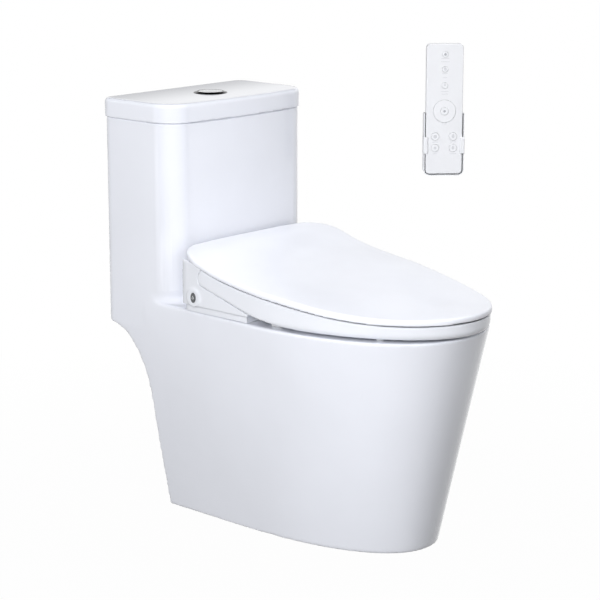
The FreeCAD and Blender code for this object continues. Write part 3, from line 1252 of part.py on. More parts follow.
def make_remote_front():
    y0, y1 = -REMOTE_T / 2, -REMOTE_T / 2 + REMOTE_SEAM_T
    h = REMOTE_H / 2
    shell = rounded_slab(REMOTE_W, y0, y1, -h, h, REMOTE_R)
    face = [e for e in shell.Edges if e.BoundBox.YMax < y0 + 0.01]
    shell = shell.makeFillet(1.6, face)
    t = REMOTE_SHELL
    room = rounded_slab(REMOTE_W - 2 * t, y0 + t, y1 + 1, -h + t, h - t, REMOTE_R - t)
    shell = shell.cut(room)
    for name, x, z, r in key_spots():
        shell = shell.cut(cyl_y(r + KEY_GAP, x, y0 - 1, y0 + t + 1, z))
    return shell.cut(cyl_y(RING_KEY_R + KEY_GAP, 0, y0 - 1, y0 + t + 1, h - RING_DROP))


def make_remote_back():
    y0, y1 = -REMOTE_T / 2 + REMOTE_SEAM_T, REMOTE_T / 2
    h = REMOTE_H / 2
    shell = rounded_slab(REMOTE_W, y0, y1, -h, h, REMOTE_R)
    back = [e for e in shell.Edges if e.BoundBox.YMin > y1 - 0.01]
    shell = shell.makeFillet(2.5, back)
    t = REMOTE_SHELL
    room = rounded_slab(REMOTE_W - 2 * t, y0 - 1, y1 - t, -h + t, h - t, REMOTE_R - t)
    shell = shell.cut(room)
    deck = box(-REMOTE_W / 2 + t, REMOTE_W / 2 - t, y0, y0 + 1.6, -h + t, h - t)
    shell = joined([shell, deck])
    return shell.cut(battery_opening(0))


def battery_opening(shrink):
    w = BATTERY_HALF_W - shrink
    z0, z1 = BATTERY_Z
    return box(-w, w, REMOTE_T / 2 - REMOTE_SHELL - 1, REMOTE_T / 2 + 1, z0 + shrink, z1 - shrink)


def make_battery_door():
    door = battery_opening(0.2).common(box(-30, 30, REMOTE_T / 2 - REMOTE_SHELL, REMOTE_T / 2, 0, 100))
    grips = [box(-8, 8, REMOTE_T / 2 - 0.6, REMOTE_T / 2 + 1, z, z + 1.2) for z in (76, 79, 82)]
    return door.cut(Part.makeCompound(grips))


def key_disc(x, z, r):
    front = -REMOTE_T / 2 - KEY_PROUD
    disc = cyl_y(r, x, front, front + KEY_T, z)
    disc = disc.makeFillet(0.6, [e for e in disc.Edges if e.BoundBox.YMax < front + 0.01])
    flange_y = -REMOTE_T / 2 + REMOTE_SHELL + 1.2
    return joined([disc, cyl_y(r + 1, x, flange_y, front + KEY_T, z)])


def make_ring_key():
    z = REMOTE_H / 2 - RING_DROP
    ring = key_disc(0, z, RING_KEY_R)
    return ring.cut(cyl_y(CENTRE_KEY_R + KEY_GAP, 0, -REMOTE_T, REMOTE_T, z))


def make_centre_key():
    z = REMOTE_H / 2 - RING_DROP
    front = -REMOTE_T / 2 - KEY_PROUD - 0.3
    disc = cyl_y(CENTRE_KEY_R, 0, front, front + KEY_T + 0.3, z)
    return disc.makeFillet(0.6, [e for e in disc.Edges if e.BoundBox.YMax < front + 0.01])


CRADLE_BOTTOM = -REMOTE_H / 2 - CRADLE_CLEARANCE
CRADLE_TOP = CRADLE_BOTTOM + CRADLE_H


def cradle_slab(grow, y0, y1, top):
    """Slab round the remote's lower half, grown sideways and down, square at its top."""
    w = REMOTE_W / 2 + CRADLE_CLEARANCE + grow
    slab = box(-w, w, y0, y1, CRADLE_BOTTOM - grow, top)
    low = [e for e in slab.Edges if abs(e.tangentAt(0).y) > 0.9 and e.BoundBox.ZMax < CRADLE_BOTTOM + 1]
    return slab.makeFillet(REMOTE_R + grow, low)


def cradle_clips():
    """Two clips that reach round the remote's edges onto its face."""
    w = REMOTE_W / 2 + CRADLE_CLEARANCE
    z1 = CRADLE_TOP - CLIP_DROP
    outer = w + LINER_T + CRADLE_WALL + 0.8
    front = -REMOTE_T / 2 - CRADLE_CLEARANCE
    clip = box(w - CLIP_REACH, outer, front - CLIP_T, REMOTE_T / 2, z1 - CLIP_H, z1)
    clip = clip.makeFillet(2.0, [e for e in clip.Edges if e.BoundBox.YMax < front - CLIP_T + 0.01])
    clip = clip.cut(box(0, w, front, FAR, -FAR, FAR))
    return mirrored_pair(clip)


def make_wall_cradle():
    y_front = -REMOTE_T / 2 + 1.0
    y_back = REMOTE_T / 2 + CRADLE_CLEARANCE
    outer = cradle_slab(LINER_T + CRADLE_WALL, y_front, y_back + CRADLE_BACK_T, CRADLE_TOP)
    cradle = outer.cut(cradle_slab(LINER_T, y_front - 1, y_back, CRADLE_TOP + 1))
    cradle = joined([cradle] + cradle_clips())
    for z in (CRADLE_TOP - 20, CRADLE_TOP - 20 - SCREW_HOLE_SPACING):
        cradle = cradle.cut(cyl_y(SCREW_HOLE_R, 0, y_back - 1, y_back + CRADLE_BACK_T + 1, z))
    return cradle


def make_cradle_liner():
    """Dark soft strip inside the cradle's sides and bottom, broken at the clips."""
    y_front = -REMOTE_T / 2 + 0.6
    y_back = REMOTE_T / 2 + CRADLE_CLEARANCE
    strip = cradle_slab(LINER_T, y_front, y_back, CRADLE_TOP)
    strip = strip.cut(cradle_slab(0, y_front - 1, y_back + 1, CRADLE_TOP + 1))
    return strip.cut(Part.makeCompound(cradle_clips()))


# ---------------------------------------------------------------- writing the nodes
def build_nodes():
    nodes = {
        "tank_casting": make_tank_casting(),
        "bowl_casting": make_bowl_casting(),
        "skirt_casting": make_skirt_casting(),
        "trapway_casting": make_trapway_casting(),
        "flush_channel": make_flush_channel(),
        "tank_lid": make_tank_lid(),
        "outlet_adapter": make_outlet_adapter(),
        "outlet_seal": make_outlet_seal(),
        "floor_screws": make_floor_screws(),
        "button_bezel": make_button_bezel(),
        "bezel_nut": make_bezel_nut(),
        "full_flush_button": make_flush_button(1),
        "half_flush_button": make_flush_button(-1),
        "full_flush_rod": make_flush_rod(1),
        "half_flush_rod": make_flush_rod(-1),
        "flush_valve_base": make_flush_valve_base(),
        "flush_valve_body": make_flush_valve_body(),
        "overflow_tube": make_overflow_tube(),
        "full_flush_lever": make_flush_lever(1, VALVE_Y - 4),
        "half_flush_lever": make_flush_lever(-1, VALVE_Y + 10),
        "valve_lifter": make_valve_lifter(),
        "valve_seal": make_valve_seal(),
        "fill_valve_body": make_fill_valve_body(),
        "fill_valve_cap": make_fill_valve_cap(),
        "fill_float": make_fill_float(),
        "fill_valve_nut": make_fill_valve_nut(),
        "refill_tube": make_refill_tube(),
        "mounting_plate": make_mounting_plate(),
        "plate_bolts": make_plate_bolts(),
        "plate_nuts": make_plate_nuts(),
        "housing_base": make_housing_base(),
        "housing_cover": make_housing_cover(),
        "hinge_pins": make_hinge_pins(),
        "seat_upper": make_seat_upper(),
        "seat_lower": make_seat_lower(),
        "seat_heater": make_seat_heater(),
        "seat_buffers": make_seat_buffers(),
        "seat_lid": make_seat_lid(),
        "lid_buffers": make_lid_buffers(),
        "wash_nozzle": make_wash_nozzle(),
        "nozzle_guide": make_nozzle_guide(),
        "water_heater": make_water_heater(),
        "inlet_valve": make_inlet_valve(),
        "circuit_board": make_circuit_board(),
        "side_button": make_side_button(),
        "side_button_ring": make_side_button_ring(),
    }
    remote = {
        "remote_front": make_remote_front(),
        "remote_back": make_remote_back(),
        "battery_door": make_battery_door(),
        "ring_key": make_ring_key(),
        "centre_key": make_centre_key(),
        "wall_cradle": make_wall_cradle(),
        "cradle_liner": make_cradle_liner(),
    }
    for name, x, z, r in key_spots():
        remote[name] = key_disc(x, z, r)
    for name, shape in remote.items():
        nodes[name] = placed(shape)
    return nodes


def main():
    os.makedirs("parts", exist_ok=True)
    for name, shape in build_nodes().items():
        shape.exportStep("parts/%s.step" % name)
        box_ = shape.BoundBox
        print("%-20s solids %d valid %s volume %9.0f  x %.1f..%.1f y %.1f..%.1f z %.1f..%.1f" % (
            name, len(shape.Solids), shape.isValid(), shape.Volume,
            box_.XMin, box_.XMax, box_.YMin, box_.YMax, box_.ZMin, box_.ZMax))


main()
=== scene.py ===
"""Visual model of a one-piece smart toilet with a heated bidet seat and its remote control.

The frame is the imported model. Glazed and moulded skins are softened copies of its solids, small
repeated things come from Geometry Nodes, and every piece gets a procedural finish. Metres.
"""
import json
import logging
import math
from dataclasses import dataclass, field
from enum import Enum

import bmesh
import bpy
from mathutils import Matrix, Vector
from mathutils.bvhtree import BVHTree

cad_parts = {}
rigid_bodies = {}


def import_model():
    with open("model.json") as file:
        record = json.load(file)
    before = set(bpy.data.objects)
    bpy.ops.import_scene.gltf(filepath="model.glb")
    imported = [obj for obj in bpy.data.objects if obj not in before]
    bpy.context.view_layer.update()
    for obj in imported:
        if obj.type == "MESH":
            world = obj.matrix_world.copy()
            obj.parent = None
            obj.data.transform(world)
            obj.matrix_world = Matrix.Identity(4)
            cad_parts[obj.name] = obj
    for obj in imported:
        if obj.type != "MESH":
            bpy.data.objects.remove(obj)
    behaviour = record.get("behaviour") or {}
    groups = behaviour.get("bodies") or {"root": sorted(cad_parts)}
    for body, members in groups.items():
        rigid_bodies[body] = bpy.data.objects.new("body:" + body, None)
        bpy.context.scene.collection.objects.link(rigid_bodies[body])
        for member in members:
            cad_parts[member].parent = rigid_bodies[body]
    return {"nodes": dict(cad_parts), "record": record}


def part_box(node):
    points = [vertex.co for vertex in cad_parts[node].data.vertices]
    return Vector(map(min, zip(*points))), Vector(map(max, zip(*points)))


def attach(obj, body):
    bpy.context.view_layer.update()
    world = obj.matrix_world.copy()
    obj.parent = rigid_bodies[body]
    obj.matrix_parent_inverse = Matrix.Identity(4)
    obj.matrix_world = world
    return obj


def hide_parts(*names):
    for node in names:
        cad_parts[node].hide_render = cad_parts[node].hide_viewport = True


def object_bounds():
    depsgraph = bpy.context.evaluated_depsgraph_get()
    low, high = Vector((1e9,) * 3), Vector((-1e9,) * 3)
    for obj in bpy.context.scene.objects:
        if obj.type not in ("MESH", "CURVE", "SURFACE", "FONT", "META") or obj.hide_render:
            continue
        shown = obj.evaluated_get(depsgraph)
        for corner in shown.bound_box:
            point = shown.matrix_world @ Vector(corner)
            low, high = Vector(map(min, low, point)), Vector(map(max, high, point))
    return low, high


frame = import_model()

CAD_LOW, CAD_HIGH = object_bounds()
NODES: dict[str, bpy.types.Object] = frame["nodes"]
BODY_OF: dict[str, str] = {
    node: body for body, nodes in frame["record"]["behaviour"]["bodies"].items() for node in nodes
}
MM = 0.001
SECOND_SHADE = 0.965
UP = Vector((0, 0, 1))
LOG = logging.getLogger("toilet")

Colour = tuple[float, float, float]


class Grain(Enum):
    """The way a surface is broken up under a raking light."""

    GLAZE = "glaze"
    MOULDED = "moulded"
    BRUSHED = "brushed"
    CRINKLED = "crinkled"


@dataclass(frozen=True)
class Finish:
    """One paint, glaze or metal: its colours, its gloss and the grain of its surface."""

    name: str
    colour: Colour
    second: Colour
    roughness: tuple[float, float]
    grain: Grain = Grain.MOULDED
    mottle: float = 9.0
    grain_scale: float = 900.0
    grain_depth: float = 0.03
    metallic: float = 0.0
    coat: float = 0.0
    coat_roughness: float = 0.05
    sheen: float = 0.0
    transmission: float = 0.0
    specular: float = 0.5

    def material(self) -> bpy.types.Material:
        """Builds the material once and hands the same one out after that.

        Returns:
            The Blender material of this finish.
        """
        made = bpy.data.materials.get(self.name)
        if made is not None:
            return made
        made = bpy.data.materials.new(self.name)
        made.use_nodes = True
        tree = made.node_tree
        tree.nodes.clear()
        shader = tree.nodes.new("ShaderNodeBsdfPrincipled")
        output = tree.nodes.new("ShaderNodeOutputMaterial")
        tree.links.new(shader.outputs["BSDF"], output.inputs["Surface"])
        self._set_constants(shader)
        place = tree.nodes.new("ShaderNodeTexCoord").outputs["Object"]
        self._link_colour(tree, place, shader)
        self._link_roughness(tree, place, shader)
        self._link_grain(tree, place, shader)
        return made

    def _set_constants(self, shader: bpy.types.Node) -> None:
        """Writes what is the same all over the surface.

        Args:
            shader: The principled shader of the material.
        """
        shader.inputs["Metallic"].default_value = self.metallic
        shader.inputs["Coat Weight"].default_value = self.coat
        shader.inputs["Coat Roughness"].default_value = self.coat_roughness
        shader.inputs["Sheen Weight"].default_value = self.sheen
        shader.inputs["Transmission Weight"].default_value = self.transmission
        shader.inputs["Specular IOR Level"].default_value = self.specular

    def _link_colour(
        self, tree: bpy.types.NodeTree, place: bpy.types.NodeSocket, shader: bpy.types.Node
    ) -> None:
        """Lets the colour drift between the two shades in broad, faint clouds.

        Args:
            tree: The material's node tree.
            place: The socket with object coordinates.
            shader: The principled shader of the material.
        """
        clouds = tree.nodes.new("ShaderNodeTexNoise")
        clouds.inputs["Scale"].default_value = self.mottle
        clouds.inputs["Detail"].default_value = 3.0
        ramp = tree.nodes.new("ShaderNodeValToRGB")
        ramp.color_ramp.elements[0].position = 0.35
        ramp.color_ramp.elements[1].position = 0.65
        ramp.color_ramp.elements[0].color = (*self.second, 1.0)
        ramp.color_ramp.elements[1].color = (*self.colour, 1.0)
        tree.links.new(place, clouds.inputs["Vector"])
        tree.links.new(clouds.outputs["Fac"], ramp.inputs["Fac"])
        tree.links.new(ramp.outputs["Color"], shader.inputs["Base Color"])

    def _link_roughness(
        self, tree: bpy.types.NodeTree, place: bpy.types.NodeSocket, shader: bpy.types.Node
    ) -> None:
        """Varies the gloss a little, as handling and the mould do.

        Args:
            tree: The material's node tree.
            place: The socket with object coordinates.
            shader: The principled shader of the material.
        """
        patches = tree.nodes.new("ShaderNodeTexNoise")
        patches.inputs["Scale"].default_value = self.mottle * 3.0
        patches.inputs["Detail"].default_value = 5.0
        spread = tree.nodes.new("ShaderNodeMapRange")
        spread.inputs["From Min"].default_value = 0.3
        spread.inputs["From Max"].default_value = 0.7
        spread.inputs["To Min"].default_value = self.roughness[0]
        spread.inputs["To Max"].default_value = self.roughness[1]
        tree.links.new(place, patches.inputs["Vector"])
        tree.links.new(patches.outputs["Fac"], spread.inputs["Value"])
        tree.links.new(spread.outputs["Result"], shader.inputs["Roughness"])

    def _link_grain(
        self, tree: bpy.types.NodeTree, place: bpy.types.NodeSocket, shader: bpy.types.Node
    ) -> None:
        """Raises the fine grain that this kind of surface has.

        Args:
            tree: The material's node tree.
            place: The socket with object coordinates.
            shader: The principled shader of the material.
        """
        stretch = tree.nodes.new("ShaderNodeMapping")
        if self.grain is Grain.BRUSHED:
            stretch.inputs["Scale"].default_value = (1.0, 1.0, 0.04)
        if self.grain is Grain.CRINKLED:
            pattern = tree.nodes.new("ShaderNodeTexVoronoi")
            height = pattern.outputs["Distance"]
        else:
            pattern = tree.nodes.new("ShaderNodeTexNoise")
            pattern.inputs["Detail"].default_value = 2.0
            height = pattern.outputs["Fac"]
        pattern.inputs["Scale"].default_value = self.grain_scale
        bump = tree.nodes.new("ShaderNodeBump")
        bump.inputs["Strength"].default_value = self.grain_depth
        bump.inputs["Distance"].default_value = 0.3 * MM
        tree.links.new(place, stretch.inputs["Vector"])
        tree.links.new(stretch.outputs["Vector"], pattern.inputs["Vector"])
        tree.links.new(height, bump.inputs["Height"])
        tree.links.new(bump.outputs["Normal"], shader.inputs["Normal"])


def paint(name: str, colour: Colour, gloss: tuple[float, float], **extra: object) -> Finish:
    """A finish whose second shade is a touch darker than its first.

    Args:
        name: The finish's name.
        colour: Its main colour, linear.
        gloss: The lowest and highest roughness.
        **extra: Any other field of Finish.

    Returns:
        The finish.
    """
    darker = tuple(channel * SECOND_SHADE for channel in colour)
    return Finish(name, colour, darker, gloss, **extra)


GLAZE = paint(
    "glazed china", (0.80, 0.82, 0.89), (0.06, 0.10), grain=Grain.GLAZE, mottle=5.0,
    grain_scale=55.0, grain_depth=0.012, coat=0.5, coat_roughness=0.03,
)
SEAT_WHITE = paint(
    "seat plastic", (0.84, 0.86, 0.925), (0.30, 0.36), grain_scale=1400.0, grain_depth=0.02,
    coat=0.25, coat_roughness=0.08,
)
HOUSING_WHITE = paint(
    "housing plastic", (0.755, 0.775, 0.83), (0.18, 0.25), grain_scale=1200.0, grain_depth=0.03,
    coat=0.2, coat_roughness=0.10,
)
VALVE_WHITE = paint("valve plastic", (0.70, 0.72, 0.74), (0.40, 0.52), grain_depth=0.06)
FLOAT_BLUE = paint("float plastic", (0.20, 0.42, 0.62), (0.38, 0.50), grain_depth=0.06)
ADAPTER_GREY = paint("adapter plastic", (0.50, 0.51, 0.52), (0.42, 0.55), grain_depth=0.08)
CHROME = paint(
    "chrome plate", (0.72, 0.73, 0.75), (0.05, 0.09), metallic=1.0, grain_scale=300.0,
    grain_depth=0.01,
)
# Painted reflection: a pale, barely metallic colour stands in for the white surround that the
# chrome buttons reflect.
CHROME_PAINTED_WHITE_REFLECTION = paint(
    "chrome with painted white reflection", (0.93, 0.94, 0.96), (0.30, 0.36), metallic=0.3, grain_scale=300.0,
    grain_depth=0.005,
)
# Painted reflection: a near-black metal colour stands in for the dark reflection on the chrome
# bezel's flank.
CHROME_PAINTED_DARK_REFLECTION = paint(
    "chrome with painted dark reflection", (0.030, 0.030, 0.034), (0.10, 0.14), metallic=1.0, grain_scale=300.0,
    grain_depth=0.005,
)
STEEL = paint(
    "stainless steel", (0.56, 0.56, 0.57), (0.24, 0.36), metallic=1.0, grain=Grain.BRUSHED,
    grain_scale=2400.0, grain_depth=0.10,
)
RUBBER = paint("black rubber", (0.025, 0.025, 0.027), (0.55, 0.70), grain_depth=0.12, sheen=0.1)
CLEAR_RUBBER = paint(
    "clear rubber", (0.80, 0.81, 0.82), (0.30, 0.42), grain_depth=0.05, transmission=0.15
)
FOIL = paint(
    "heater foil", (0.66, 0.67, 0.68), (0.22, 0.34), metallic=1.0, grain=Grain.CRINKLED,
    grain_scale=220.0, grain_depth=0.35,
)
BOARD_GREEN = paint("circuit board", (0.02, 0.16, 0.07), (0.30, 0.42), grain_scale=1800.0)
REMOTE_WHITE = paint("remote plastic", (0.78, 0.79, 0.82), (0.30, 0.38), grain_depth=0.04)
KEY_WHITE = paint("key plastic", (0.79, 0.80, 0.83), (0.34, 0.44), grain_depth=0.05)
RING_GREY = paint("ring plastic", (0.10, 0.105, 0.11), (0.32, 0.42), grain_depth=0.05)
PRINT_WHITE = paint("printed white", (0.75, 0.76, 0.78), (0.45, 0.55), grain_depth=0.02)
PRINT_GREY = paint("printed grey", (0.42, 0.43, 0.46), (0.45, 0.55), grain_depth=0.02)
PRINT_PALE = paint("printed pale grey", (0.60, 0.61, 0.64), (0.45, 0.55), grain_depth=0.02)


@dataclass
class Slots:
    """Which finish each of the record's material slots takes."""

    finishes: dict[str, Finish] = field(
        default_factory=lambda: {
            "china": GLAZE,
            "seat_plastic": SEAT_WHITE,
            "housing_plastic": HOUSING_WHITE,
            "valve_plastic": VALVE_WHITE,
            "float_plastic": FLOAT_BLUE,
            "adapter_plastic": ADAPTER_GREY,
            "chrome": CHROME,
            "steel": STEEL,
            "rubber": RUBBER,
            "clear_rubber": CLEAR_RUBBER,
            "foil": FOIL,
            "board": BOARD_GREEN,
            "remote_plastic": REMOTE_WHITE,
            "key_plastic": KEY_WHITE,
            "ring_grey": RING_GREY,
        }
    )

    def dress(self, piece: bpy.types.Object, slot: str) -> None:
        """Gives a piece the finish of a slot.

        Args:
            piece: The mesh object.
            slot: The record's name of the material slot.
        """
        cover(piece, self.finishes[slot])


def cover(piece: bpy.types.Object, finish: Finish) -> None:
    """Makes a finish the only material of a piece.

    Args:
        piece: The mesh object.
        finish: Its finish.
    """
    piece.data.materials.clear()
    piece.data.materials.append(finish.material())


def baked(piece: bpy.types.Object) -> bpy.types.Object:
    """Turns what a piece's modifiers make into its own plain mesh.

    Args:
        piece: The object with modifiers.

    Returns:
        The same object, with no modifier left.
    """
    graph = bpy.context.evaluated_depsgraph_get()
    mesh = bpy.data.meshes.new_from_object(piece.evaluated_get(graph))
    piece.modifiers.clear()
    piece.data = mesh
    return piece


def new_piece(name: str, mesh: bpy.types.Mesh) -> bpy.types.Object:
    """Links a mesh into the scene as an object at the origin.

    Args:
        name: The piece's name.
        mesh: Its mesh, already in place.

    Returns:
        The object.
    """
    piece = bpy.data.objects.new(name, mesh)
    bpy.context.scene.collection.objects.link(piece)
    return piece


def shade_smooth(piece: bpy.types.Object) -> None:
    """Shades every face of a piece smooth."""
    piece.data.shade_smooth()


@dataclass(frozen=True)
class SoftSkin:
    """Makes one closed skin of some solids, with every edge eased as a cast or moulded edge is."""

    cell: float
    passes: int
    most_triangles: int
    weld: float = 0.002 * MM

    def make(self, name: str, nodes: tuple[str, ...]) -> bpy.types.Object:
        """Builds the skin from copies of the nodes.

        Args:
            name: The new piece's name.
            nodes: The CAD nodes whose solids it covers.

        Returns:
            The smooth shaded piece, which rides and stands for nothing yet.
        """
        shape = bmesh.new()
        for node in nodes:
            shape.from_mesh(NODES[node].data)
        bmesh.ops.remove_doubles(shape, verts=shape.verts, dist=self.weld)
        mesh = bpy.data.meshes.new(name)
        shape.to_mesh(mesh)
        shape.free()
        piece = new_piece(name, mesh)
        cells = piece.modifiers.new("cells", "REMESH")
        cells.mode = "VOXEL"
        cells.voxel_size = self.cell
        relax = piece.modifiers.new("relax", "SMOOTH")
        relax.factor = 0.5
        relax.iterations = self.passes
        baked(piece)
        triangles = sum(len(face.vertices) - 2 for face in piece.data.polygons)
        if triangles > self.most_triangles:
            thin = piece.modifiers.new("thin", "DECIMATE")
            thin.ratio = self.most_triangles / triangles
            baked(piece)
        shade_smooth(piece)
        return piece


@dataclass
class Assembly:
    """A group of pieces that are made and dressed together."""

    slots: Slots

    def carry(self, slot: str, *nodes: str) -> None:
        """Shows CAD nodes as they are, in the finish of a slot.

        Args:
            slot: The record's name of the material slot.
            *nodes: The CAD nodes.
        """
        for node in nodes:
            self.slots.dress(NODES[node], slot)
            LOG.info("%s carried over in %s", node, slot)

    def stand_in(
        self, piece: bpy.types.Object, slot: str, nodes: tuple[str, ...] = (), body: str = "",
        finish: Finish | None = None,
    ) -> None:
        """Lets a new piece ride with a body and stand for CAD nodes.

        Args:
            piece: The new piece.
            slot: The record's name of its material slot.
            nodes: The CAD nodes that it stands for.
            body: The body it rides with, where it stands for no node.
            finish: Its finish, where that isn't the slot's own.
        """
        self.slots.dress(piece, slot)
        if finish is not None:
            cover(piece, finish)
        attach(piece, body or BODY_OF[nodes[0]])
        if nodes:
            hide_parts(*nodes)
        LOG.info("%s made, %d faces", piece.name, len(piece.data.polygons))


class TreeMaker:
    """Builds a Geometry Nodes tree with named size inputs and one material."""

    def __init__(self, name: str, finish: Finish, sizes: tuple[str, ...]) -> None:
        """Starts an empty tree.

        Args:
            name: The tree's name.
            finish: The finish of what it makes.
            sizes: The names of its number inputs.
        """
        self.tree = bpy.data.node_groups.new(name, "GeometryNodeTree")
        self.finish = finish
        faces = self.tree.interface
        faces.new_socket("Geometry", in_out="OUTPUT", socket_type="NodeSocketGeometry")
        self.ids: dict[str, str] = {}
        for size in sizes:
            made = faces.new_socket(size, in_out="INPUT", socket_type="NodeSocketFloat")
            self.ids[size] = made.identifier
        self.inputs = self.tree.nodes.new("NodeGroupInput")
        self.output = self.tree.nodes.new("NodeGroupOutput")

    def node(self, kind: str, **links: bpy.types.NodeSocket) -> bpy.types.Node:
        """Adds a node and links sockets into it by name.

        Args:
            kind: The node's type.
            **links: The sockets to link, with underscores for the spaces in an input's name.

        Returns:
            The node.
        """
        made = self.tree.nodes.new(kind)
        for name, source in links.items():
            self.tree.links.new(source, made.inputs[name.replace("_", " ")])
        return made

    def size(self, name: str) -> bpy.types.NodeSocket:
        """The output socket of a named size."""
        return self.inputs.outputs[name]

    def maths(
        self, operation: str, first: bpy.types.NodeSocket, second: float | bpy.types.NodeSocket
    ) -> bpy.types.NodeSocket:
        """Joins two numbers with an operation.

        Args:
            operation: The Math node's operation.
            first: The first number's socket.
            second: The second number, or its socket.

        Returns:
            The result's socket.
        """
        made = self.tree.nodes.new("ShaderNodeMath")
        made.operation = operation
        self.tree.links.new(first, made.inputs[0])
        if isinstance(second, bpy.types.NodeSocket):
            self.tree.links.new(second, made.inputs[1])
        else:
            made.inputs[1].default_value = second
        return made.outputs[0]

    def end(self, geometry: bpy.types.NodeSocket) -> None:
        """Realizes the instances, sets the material and closes the tree.

        Args:
            geometry: The socket with the finished geometry.
        """
        real = self.node("GeometryNodeRealizeInstances", Geometry=geometry)
        dressed = self.node("GeometryNodeSetMaterial", Geometry=real.outputs[0])
        dressed.inputs["Material"].default_value = self.finish.material()
        self.tree.links.new(dressed.outputs[0], self.output.inputs[0])

    def build(self, name: str, place: Matrix, **values: float) -> bpy.types.Object:
        """Runs the tree with some sizes and moves the result into place.

        Args:
            name: The new piece's name.
            place: Where the tree's own origin goes.
            **values: The sizes, by the names of the inputs.

        Returns:
            The piece, with a plain mesh.
        """
        piece = new_piece(name, bpy.data.meshes.new(name))
        modifier = piece.modifiers.new("tree", "NODES")
        modifier.node_group = self.tree
        for size, value in values.items():
            modifier[self.ids[size]] = value
        baked(piece)
        piece.data.transform(place)
        return piece


def thread_tree() -> TreeMaker:
    """A screw thread: a round bead that climbs round a shank.

    Returns:
        The tree, with the inputs radius, pitch, length and bead.
    """
    made = TreeMaker("thread", VALVE_WHITE, ("radius", "pitch", "length", "bead"))
    spiral = made.node("GeometryNodeCurveSpiral")
    for end in ("Start Radius", "End Radius"):
        made.tree.links.new(made.size("radius"), spiral.inputs[end])
    turns = made.maths("DIVIDE", made.size("length"), made.size("pitch"))
    made.tree.links.new(turns, spiral.inputs["Rotations"])
    made.tree.links.new(made.size("length"), spiral.inputs["Height"])
    spiral.inputs["Resolution"].default_value = 28
    bead = made.node("GeometryNodeCurvePrimitiveCircle", Radius=made.size("bead"))
    bead.inputs["Resolution"].default_value = 6
    sweep = made.node(
        "GeometryNodeCurveToMesh", Curve=spiral.outputs[0], Profile_Curve=bead.outputs[0]
    )
    sweep.inputs["Fill Caps"].default_value = True
    made.end(sweep.outputs[0])
    return made


def dash_tree() -> TreeMaker:
    """A row of short printed dashes, as a line of small type looks from a distance.

    Returns:
        The tree, with the inputs count, step, width, height and film.
    """
    made = TreeMaker("dashes", PRINT_PALE, ("count", "step", "width", "height", "film"))
    size = made.node("ShaderNodeCombineXYZ", X=made.size("width"), Y=made.size("height"))
    made.tree.links.new(made.size("film"), size.inputs["Z"])
    dash = made.node("GeometryNodeMeshCube", Size=size.outputs[0])
    step = made.node("ShaderNodeCombineXYZ", X=made.size("step"))
    span = made.maths("MULTIPLY", made.maths("SUBTRACT", made.size("count"), 1.0), -0.5)
    start = made.node("ShaderNodeCombineXYZ", X=made.maths("MULTIPLY", span, made.size("step")))
    row = made.node("GeometryNodeMeshLine", Count=made.size("count"), Offset=step.outputs[0])
    made.tree.links.new(start.outputs[0], row.inputs["Start Location"])
    spread = made.node(
        "GeometryNodeInstanceOnPoints", Points=row.outputs[0], Instance=dash.outputs[0]
    )
    made.end(spread.outputs[0])
    return made


def ease(value: float) -> float:
    """Smooth step from 0 to 1, flat outside that range."""
    part = min(max(value, 0.0), 1.0)
    return part * part * (3.0 - 2.0 * part)


@dataclass(frozen=True)
class TankCorner:
    """The front corners of the tank and its lid, drawn tighter than the solids have them."""

    built_radius: float = 68.0 * MM
    radius: float = 47.0 * MM
    bow: float = math.radians(5.3)
    overhang: float = 2.5 * MM
    fade_from: float = 2.0 * MM
    fade_over: float = 26.0 * MM

    def centre(self) -> Vector:
        """Plan centre of the built corner on the right, found from the lid's box."""
        low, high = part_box("tank_lid")
        radius = self.built_radius + self.overhang
        across = high.x - radius
        chord = across + radius * math.sin(self.bow)
        end = low.y + chord * math.tan(self.bow / 2)
        return Vector((across, end + radius * math.cos(self.bow)))

    def reach(self, way: Vector, built: float) -> float:
        """How far the tighter corner lies from the built corner's centre.

        Args:
            way: Unit vector in plan, mirrored to the right hand side.
            built: The built corner's radius there.

        Returns:
            The distance along that way.
        """
        tight = built - self.built_radius + self.radius
        front = Vector((math.sin(self.bow), -math.cos(self.bow)))
        lines = min(built / max(way.x, 1e-6), built / max(way.dot(front), 1e-6))
        inward = Vector((1.0, -(1.0 - math.sin(self.bow)) / math.cos(self.bow)))
        shift = inward * (built - tight)
        along = way.dot(shift)
        root = tight * tight - shift.length_squared + along * along
        if root < 0.0:
            return lines
        arc = along + math.sqrt(root)
        touch = way * arc - shift
        inside = touch.y <= 0.0 and touch.cross(front) <= 0.0
        return arc if inside else lines

    def tighten(self, piece: bpy.types.Object, built: float, deck: float) -> None:
        """Moves the skin's corner vertices out to the tighter corner.

        Args:
            piece: The skin.
            built: The corner's radius on this piece.
            deck: Height from which on it is moved.
        """
        centre = self.centre()
        for vertex in piece.data.vertices:
            co = vertex.co
            side = 1.0 if co.x > 0.0 else -1.0
            arm = Vector((co.x * side - centre.x, co.y - centre.y))
            rise = ease((co.z - deck - self.fade_from) / self.fade_over)
            if rise <= 0.0 or arm.x <= 0.0 or arm.y >= 0.0 or arm.length > built * 1.3:
                continue
            way = arm.normalized()
            if way.x * math.cos(self.bow) + way.y * math.sin(self.bow) <= 0.0:
                continue
            share = ease(arm.length / built * 1.5 - 0.5)
            move = way * (self.reach(way, built) - built) * share * rise
            vertex.co = (co.x + move.x * side, co.y + move.y, co.z)


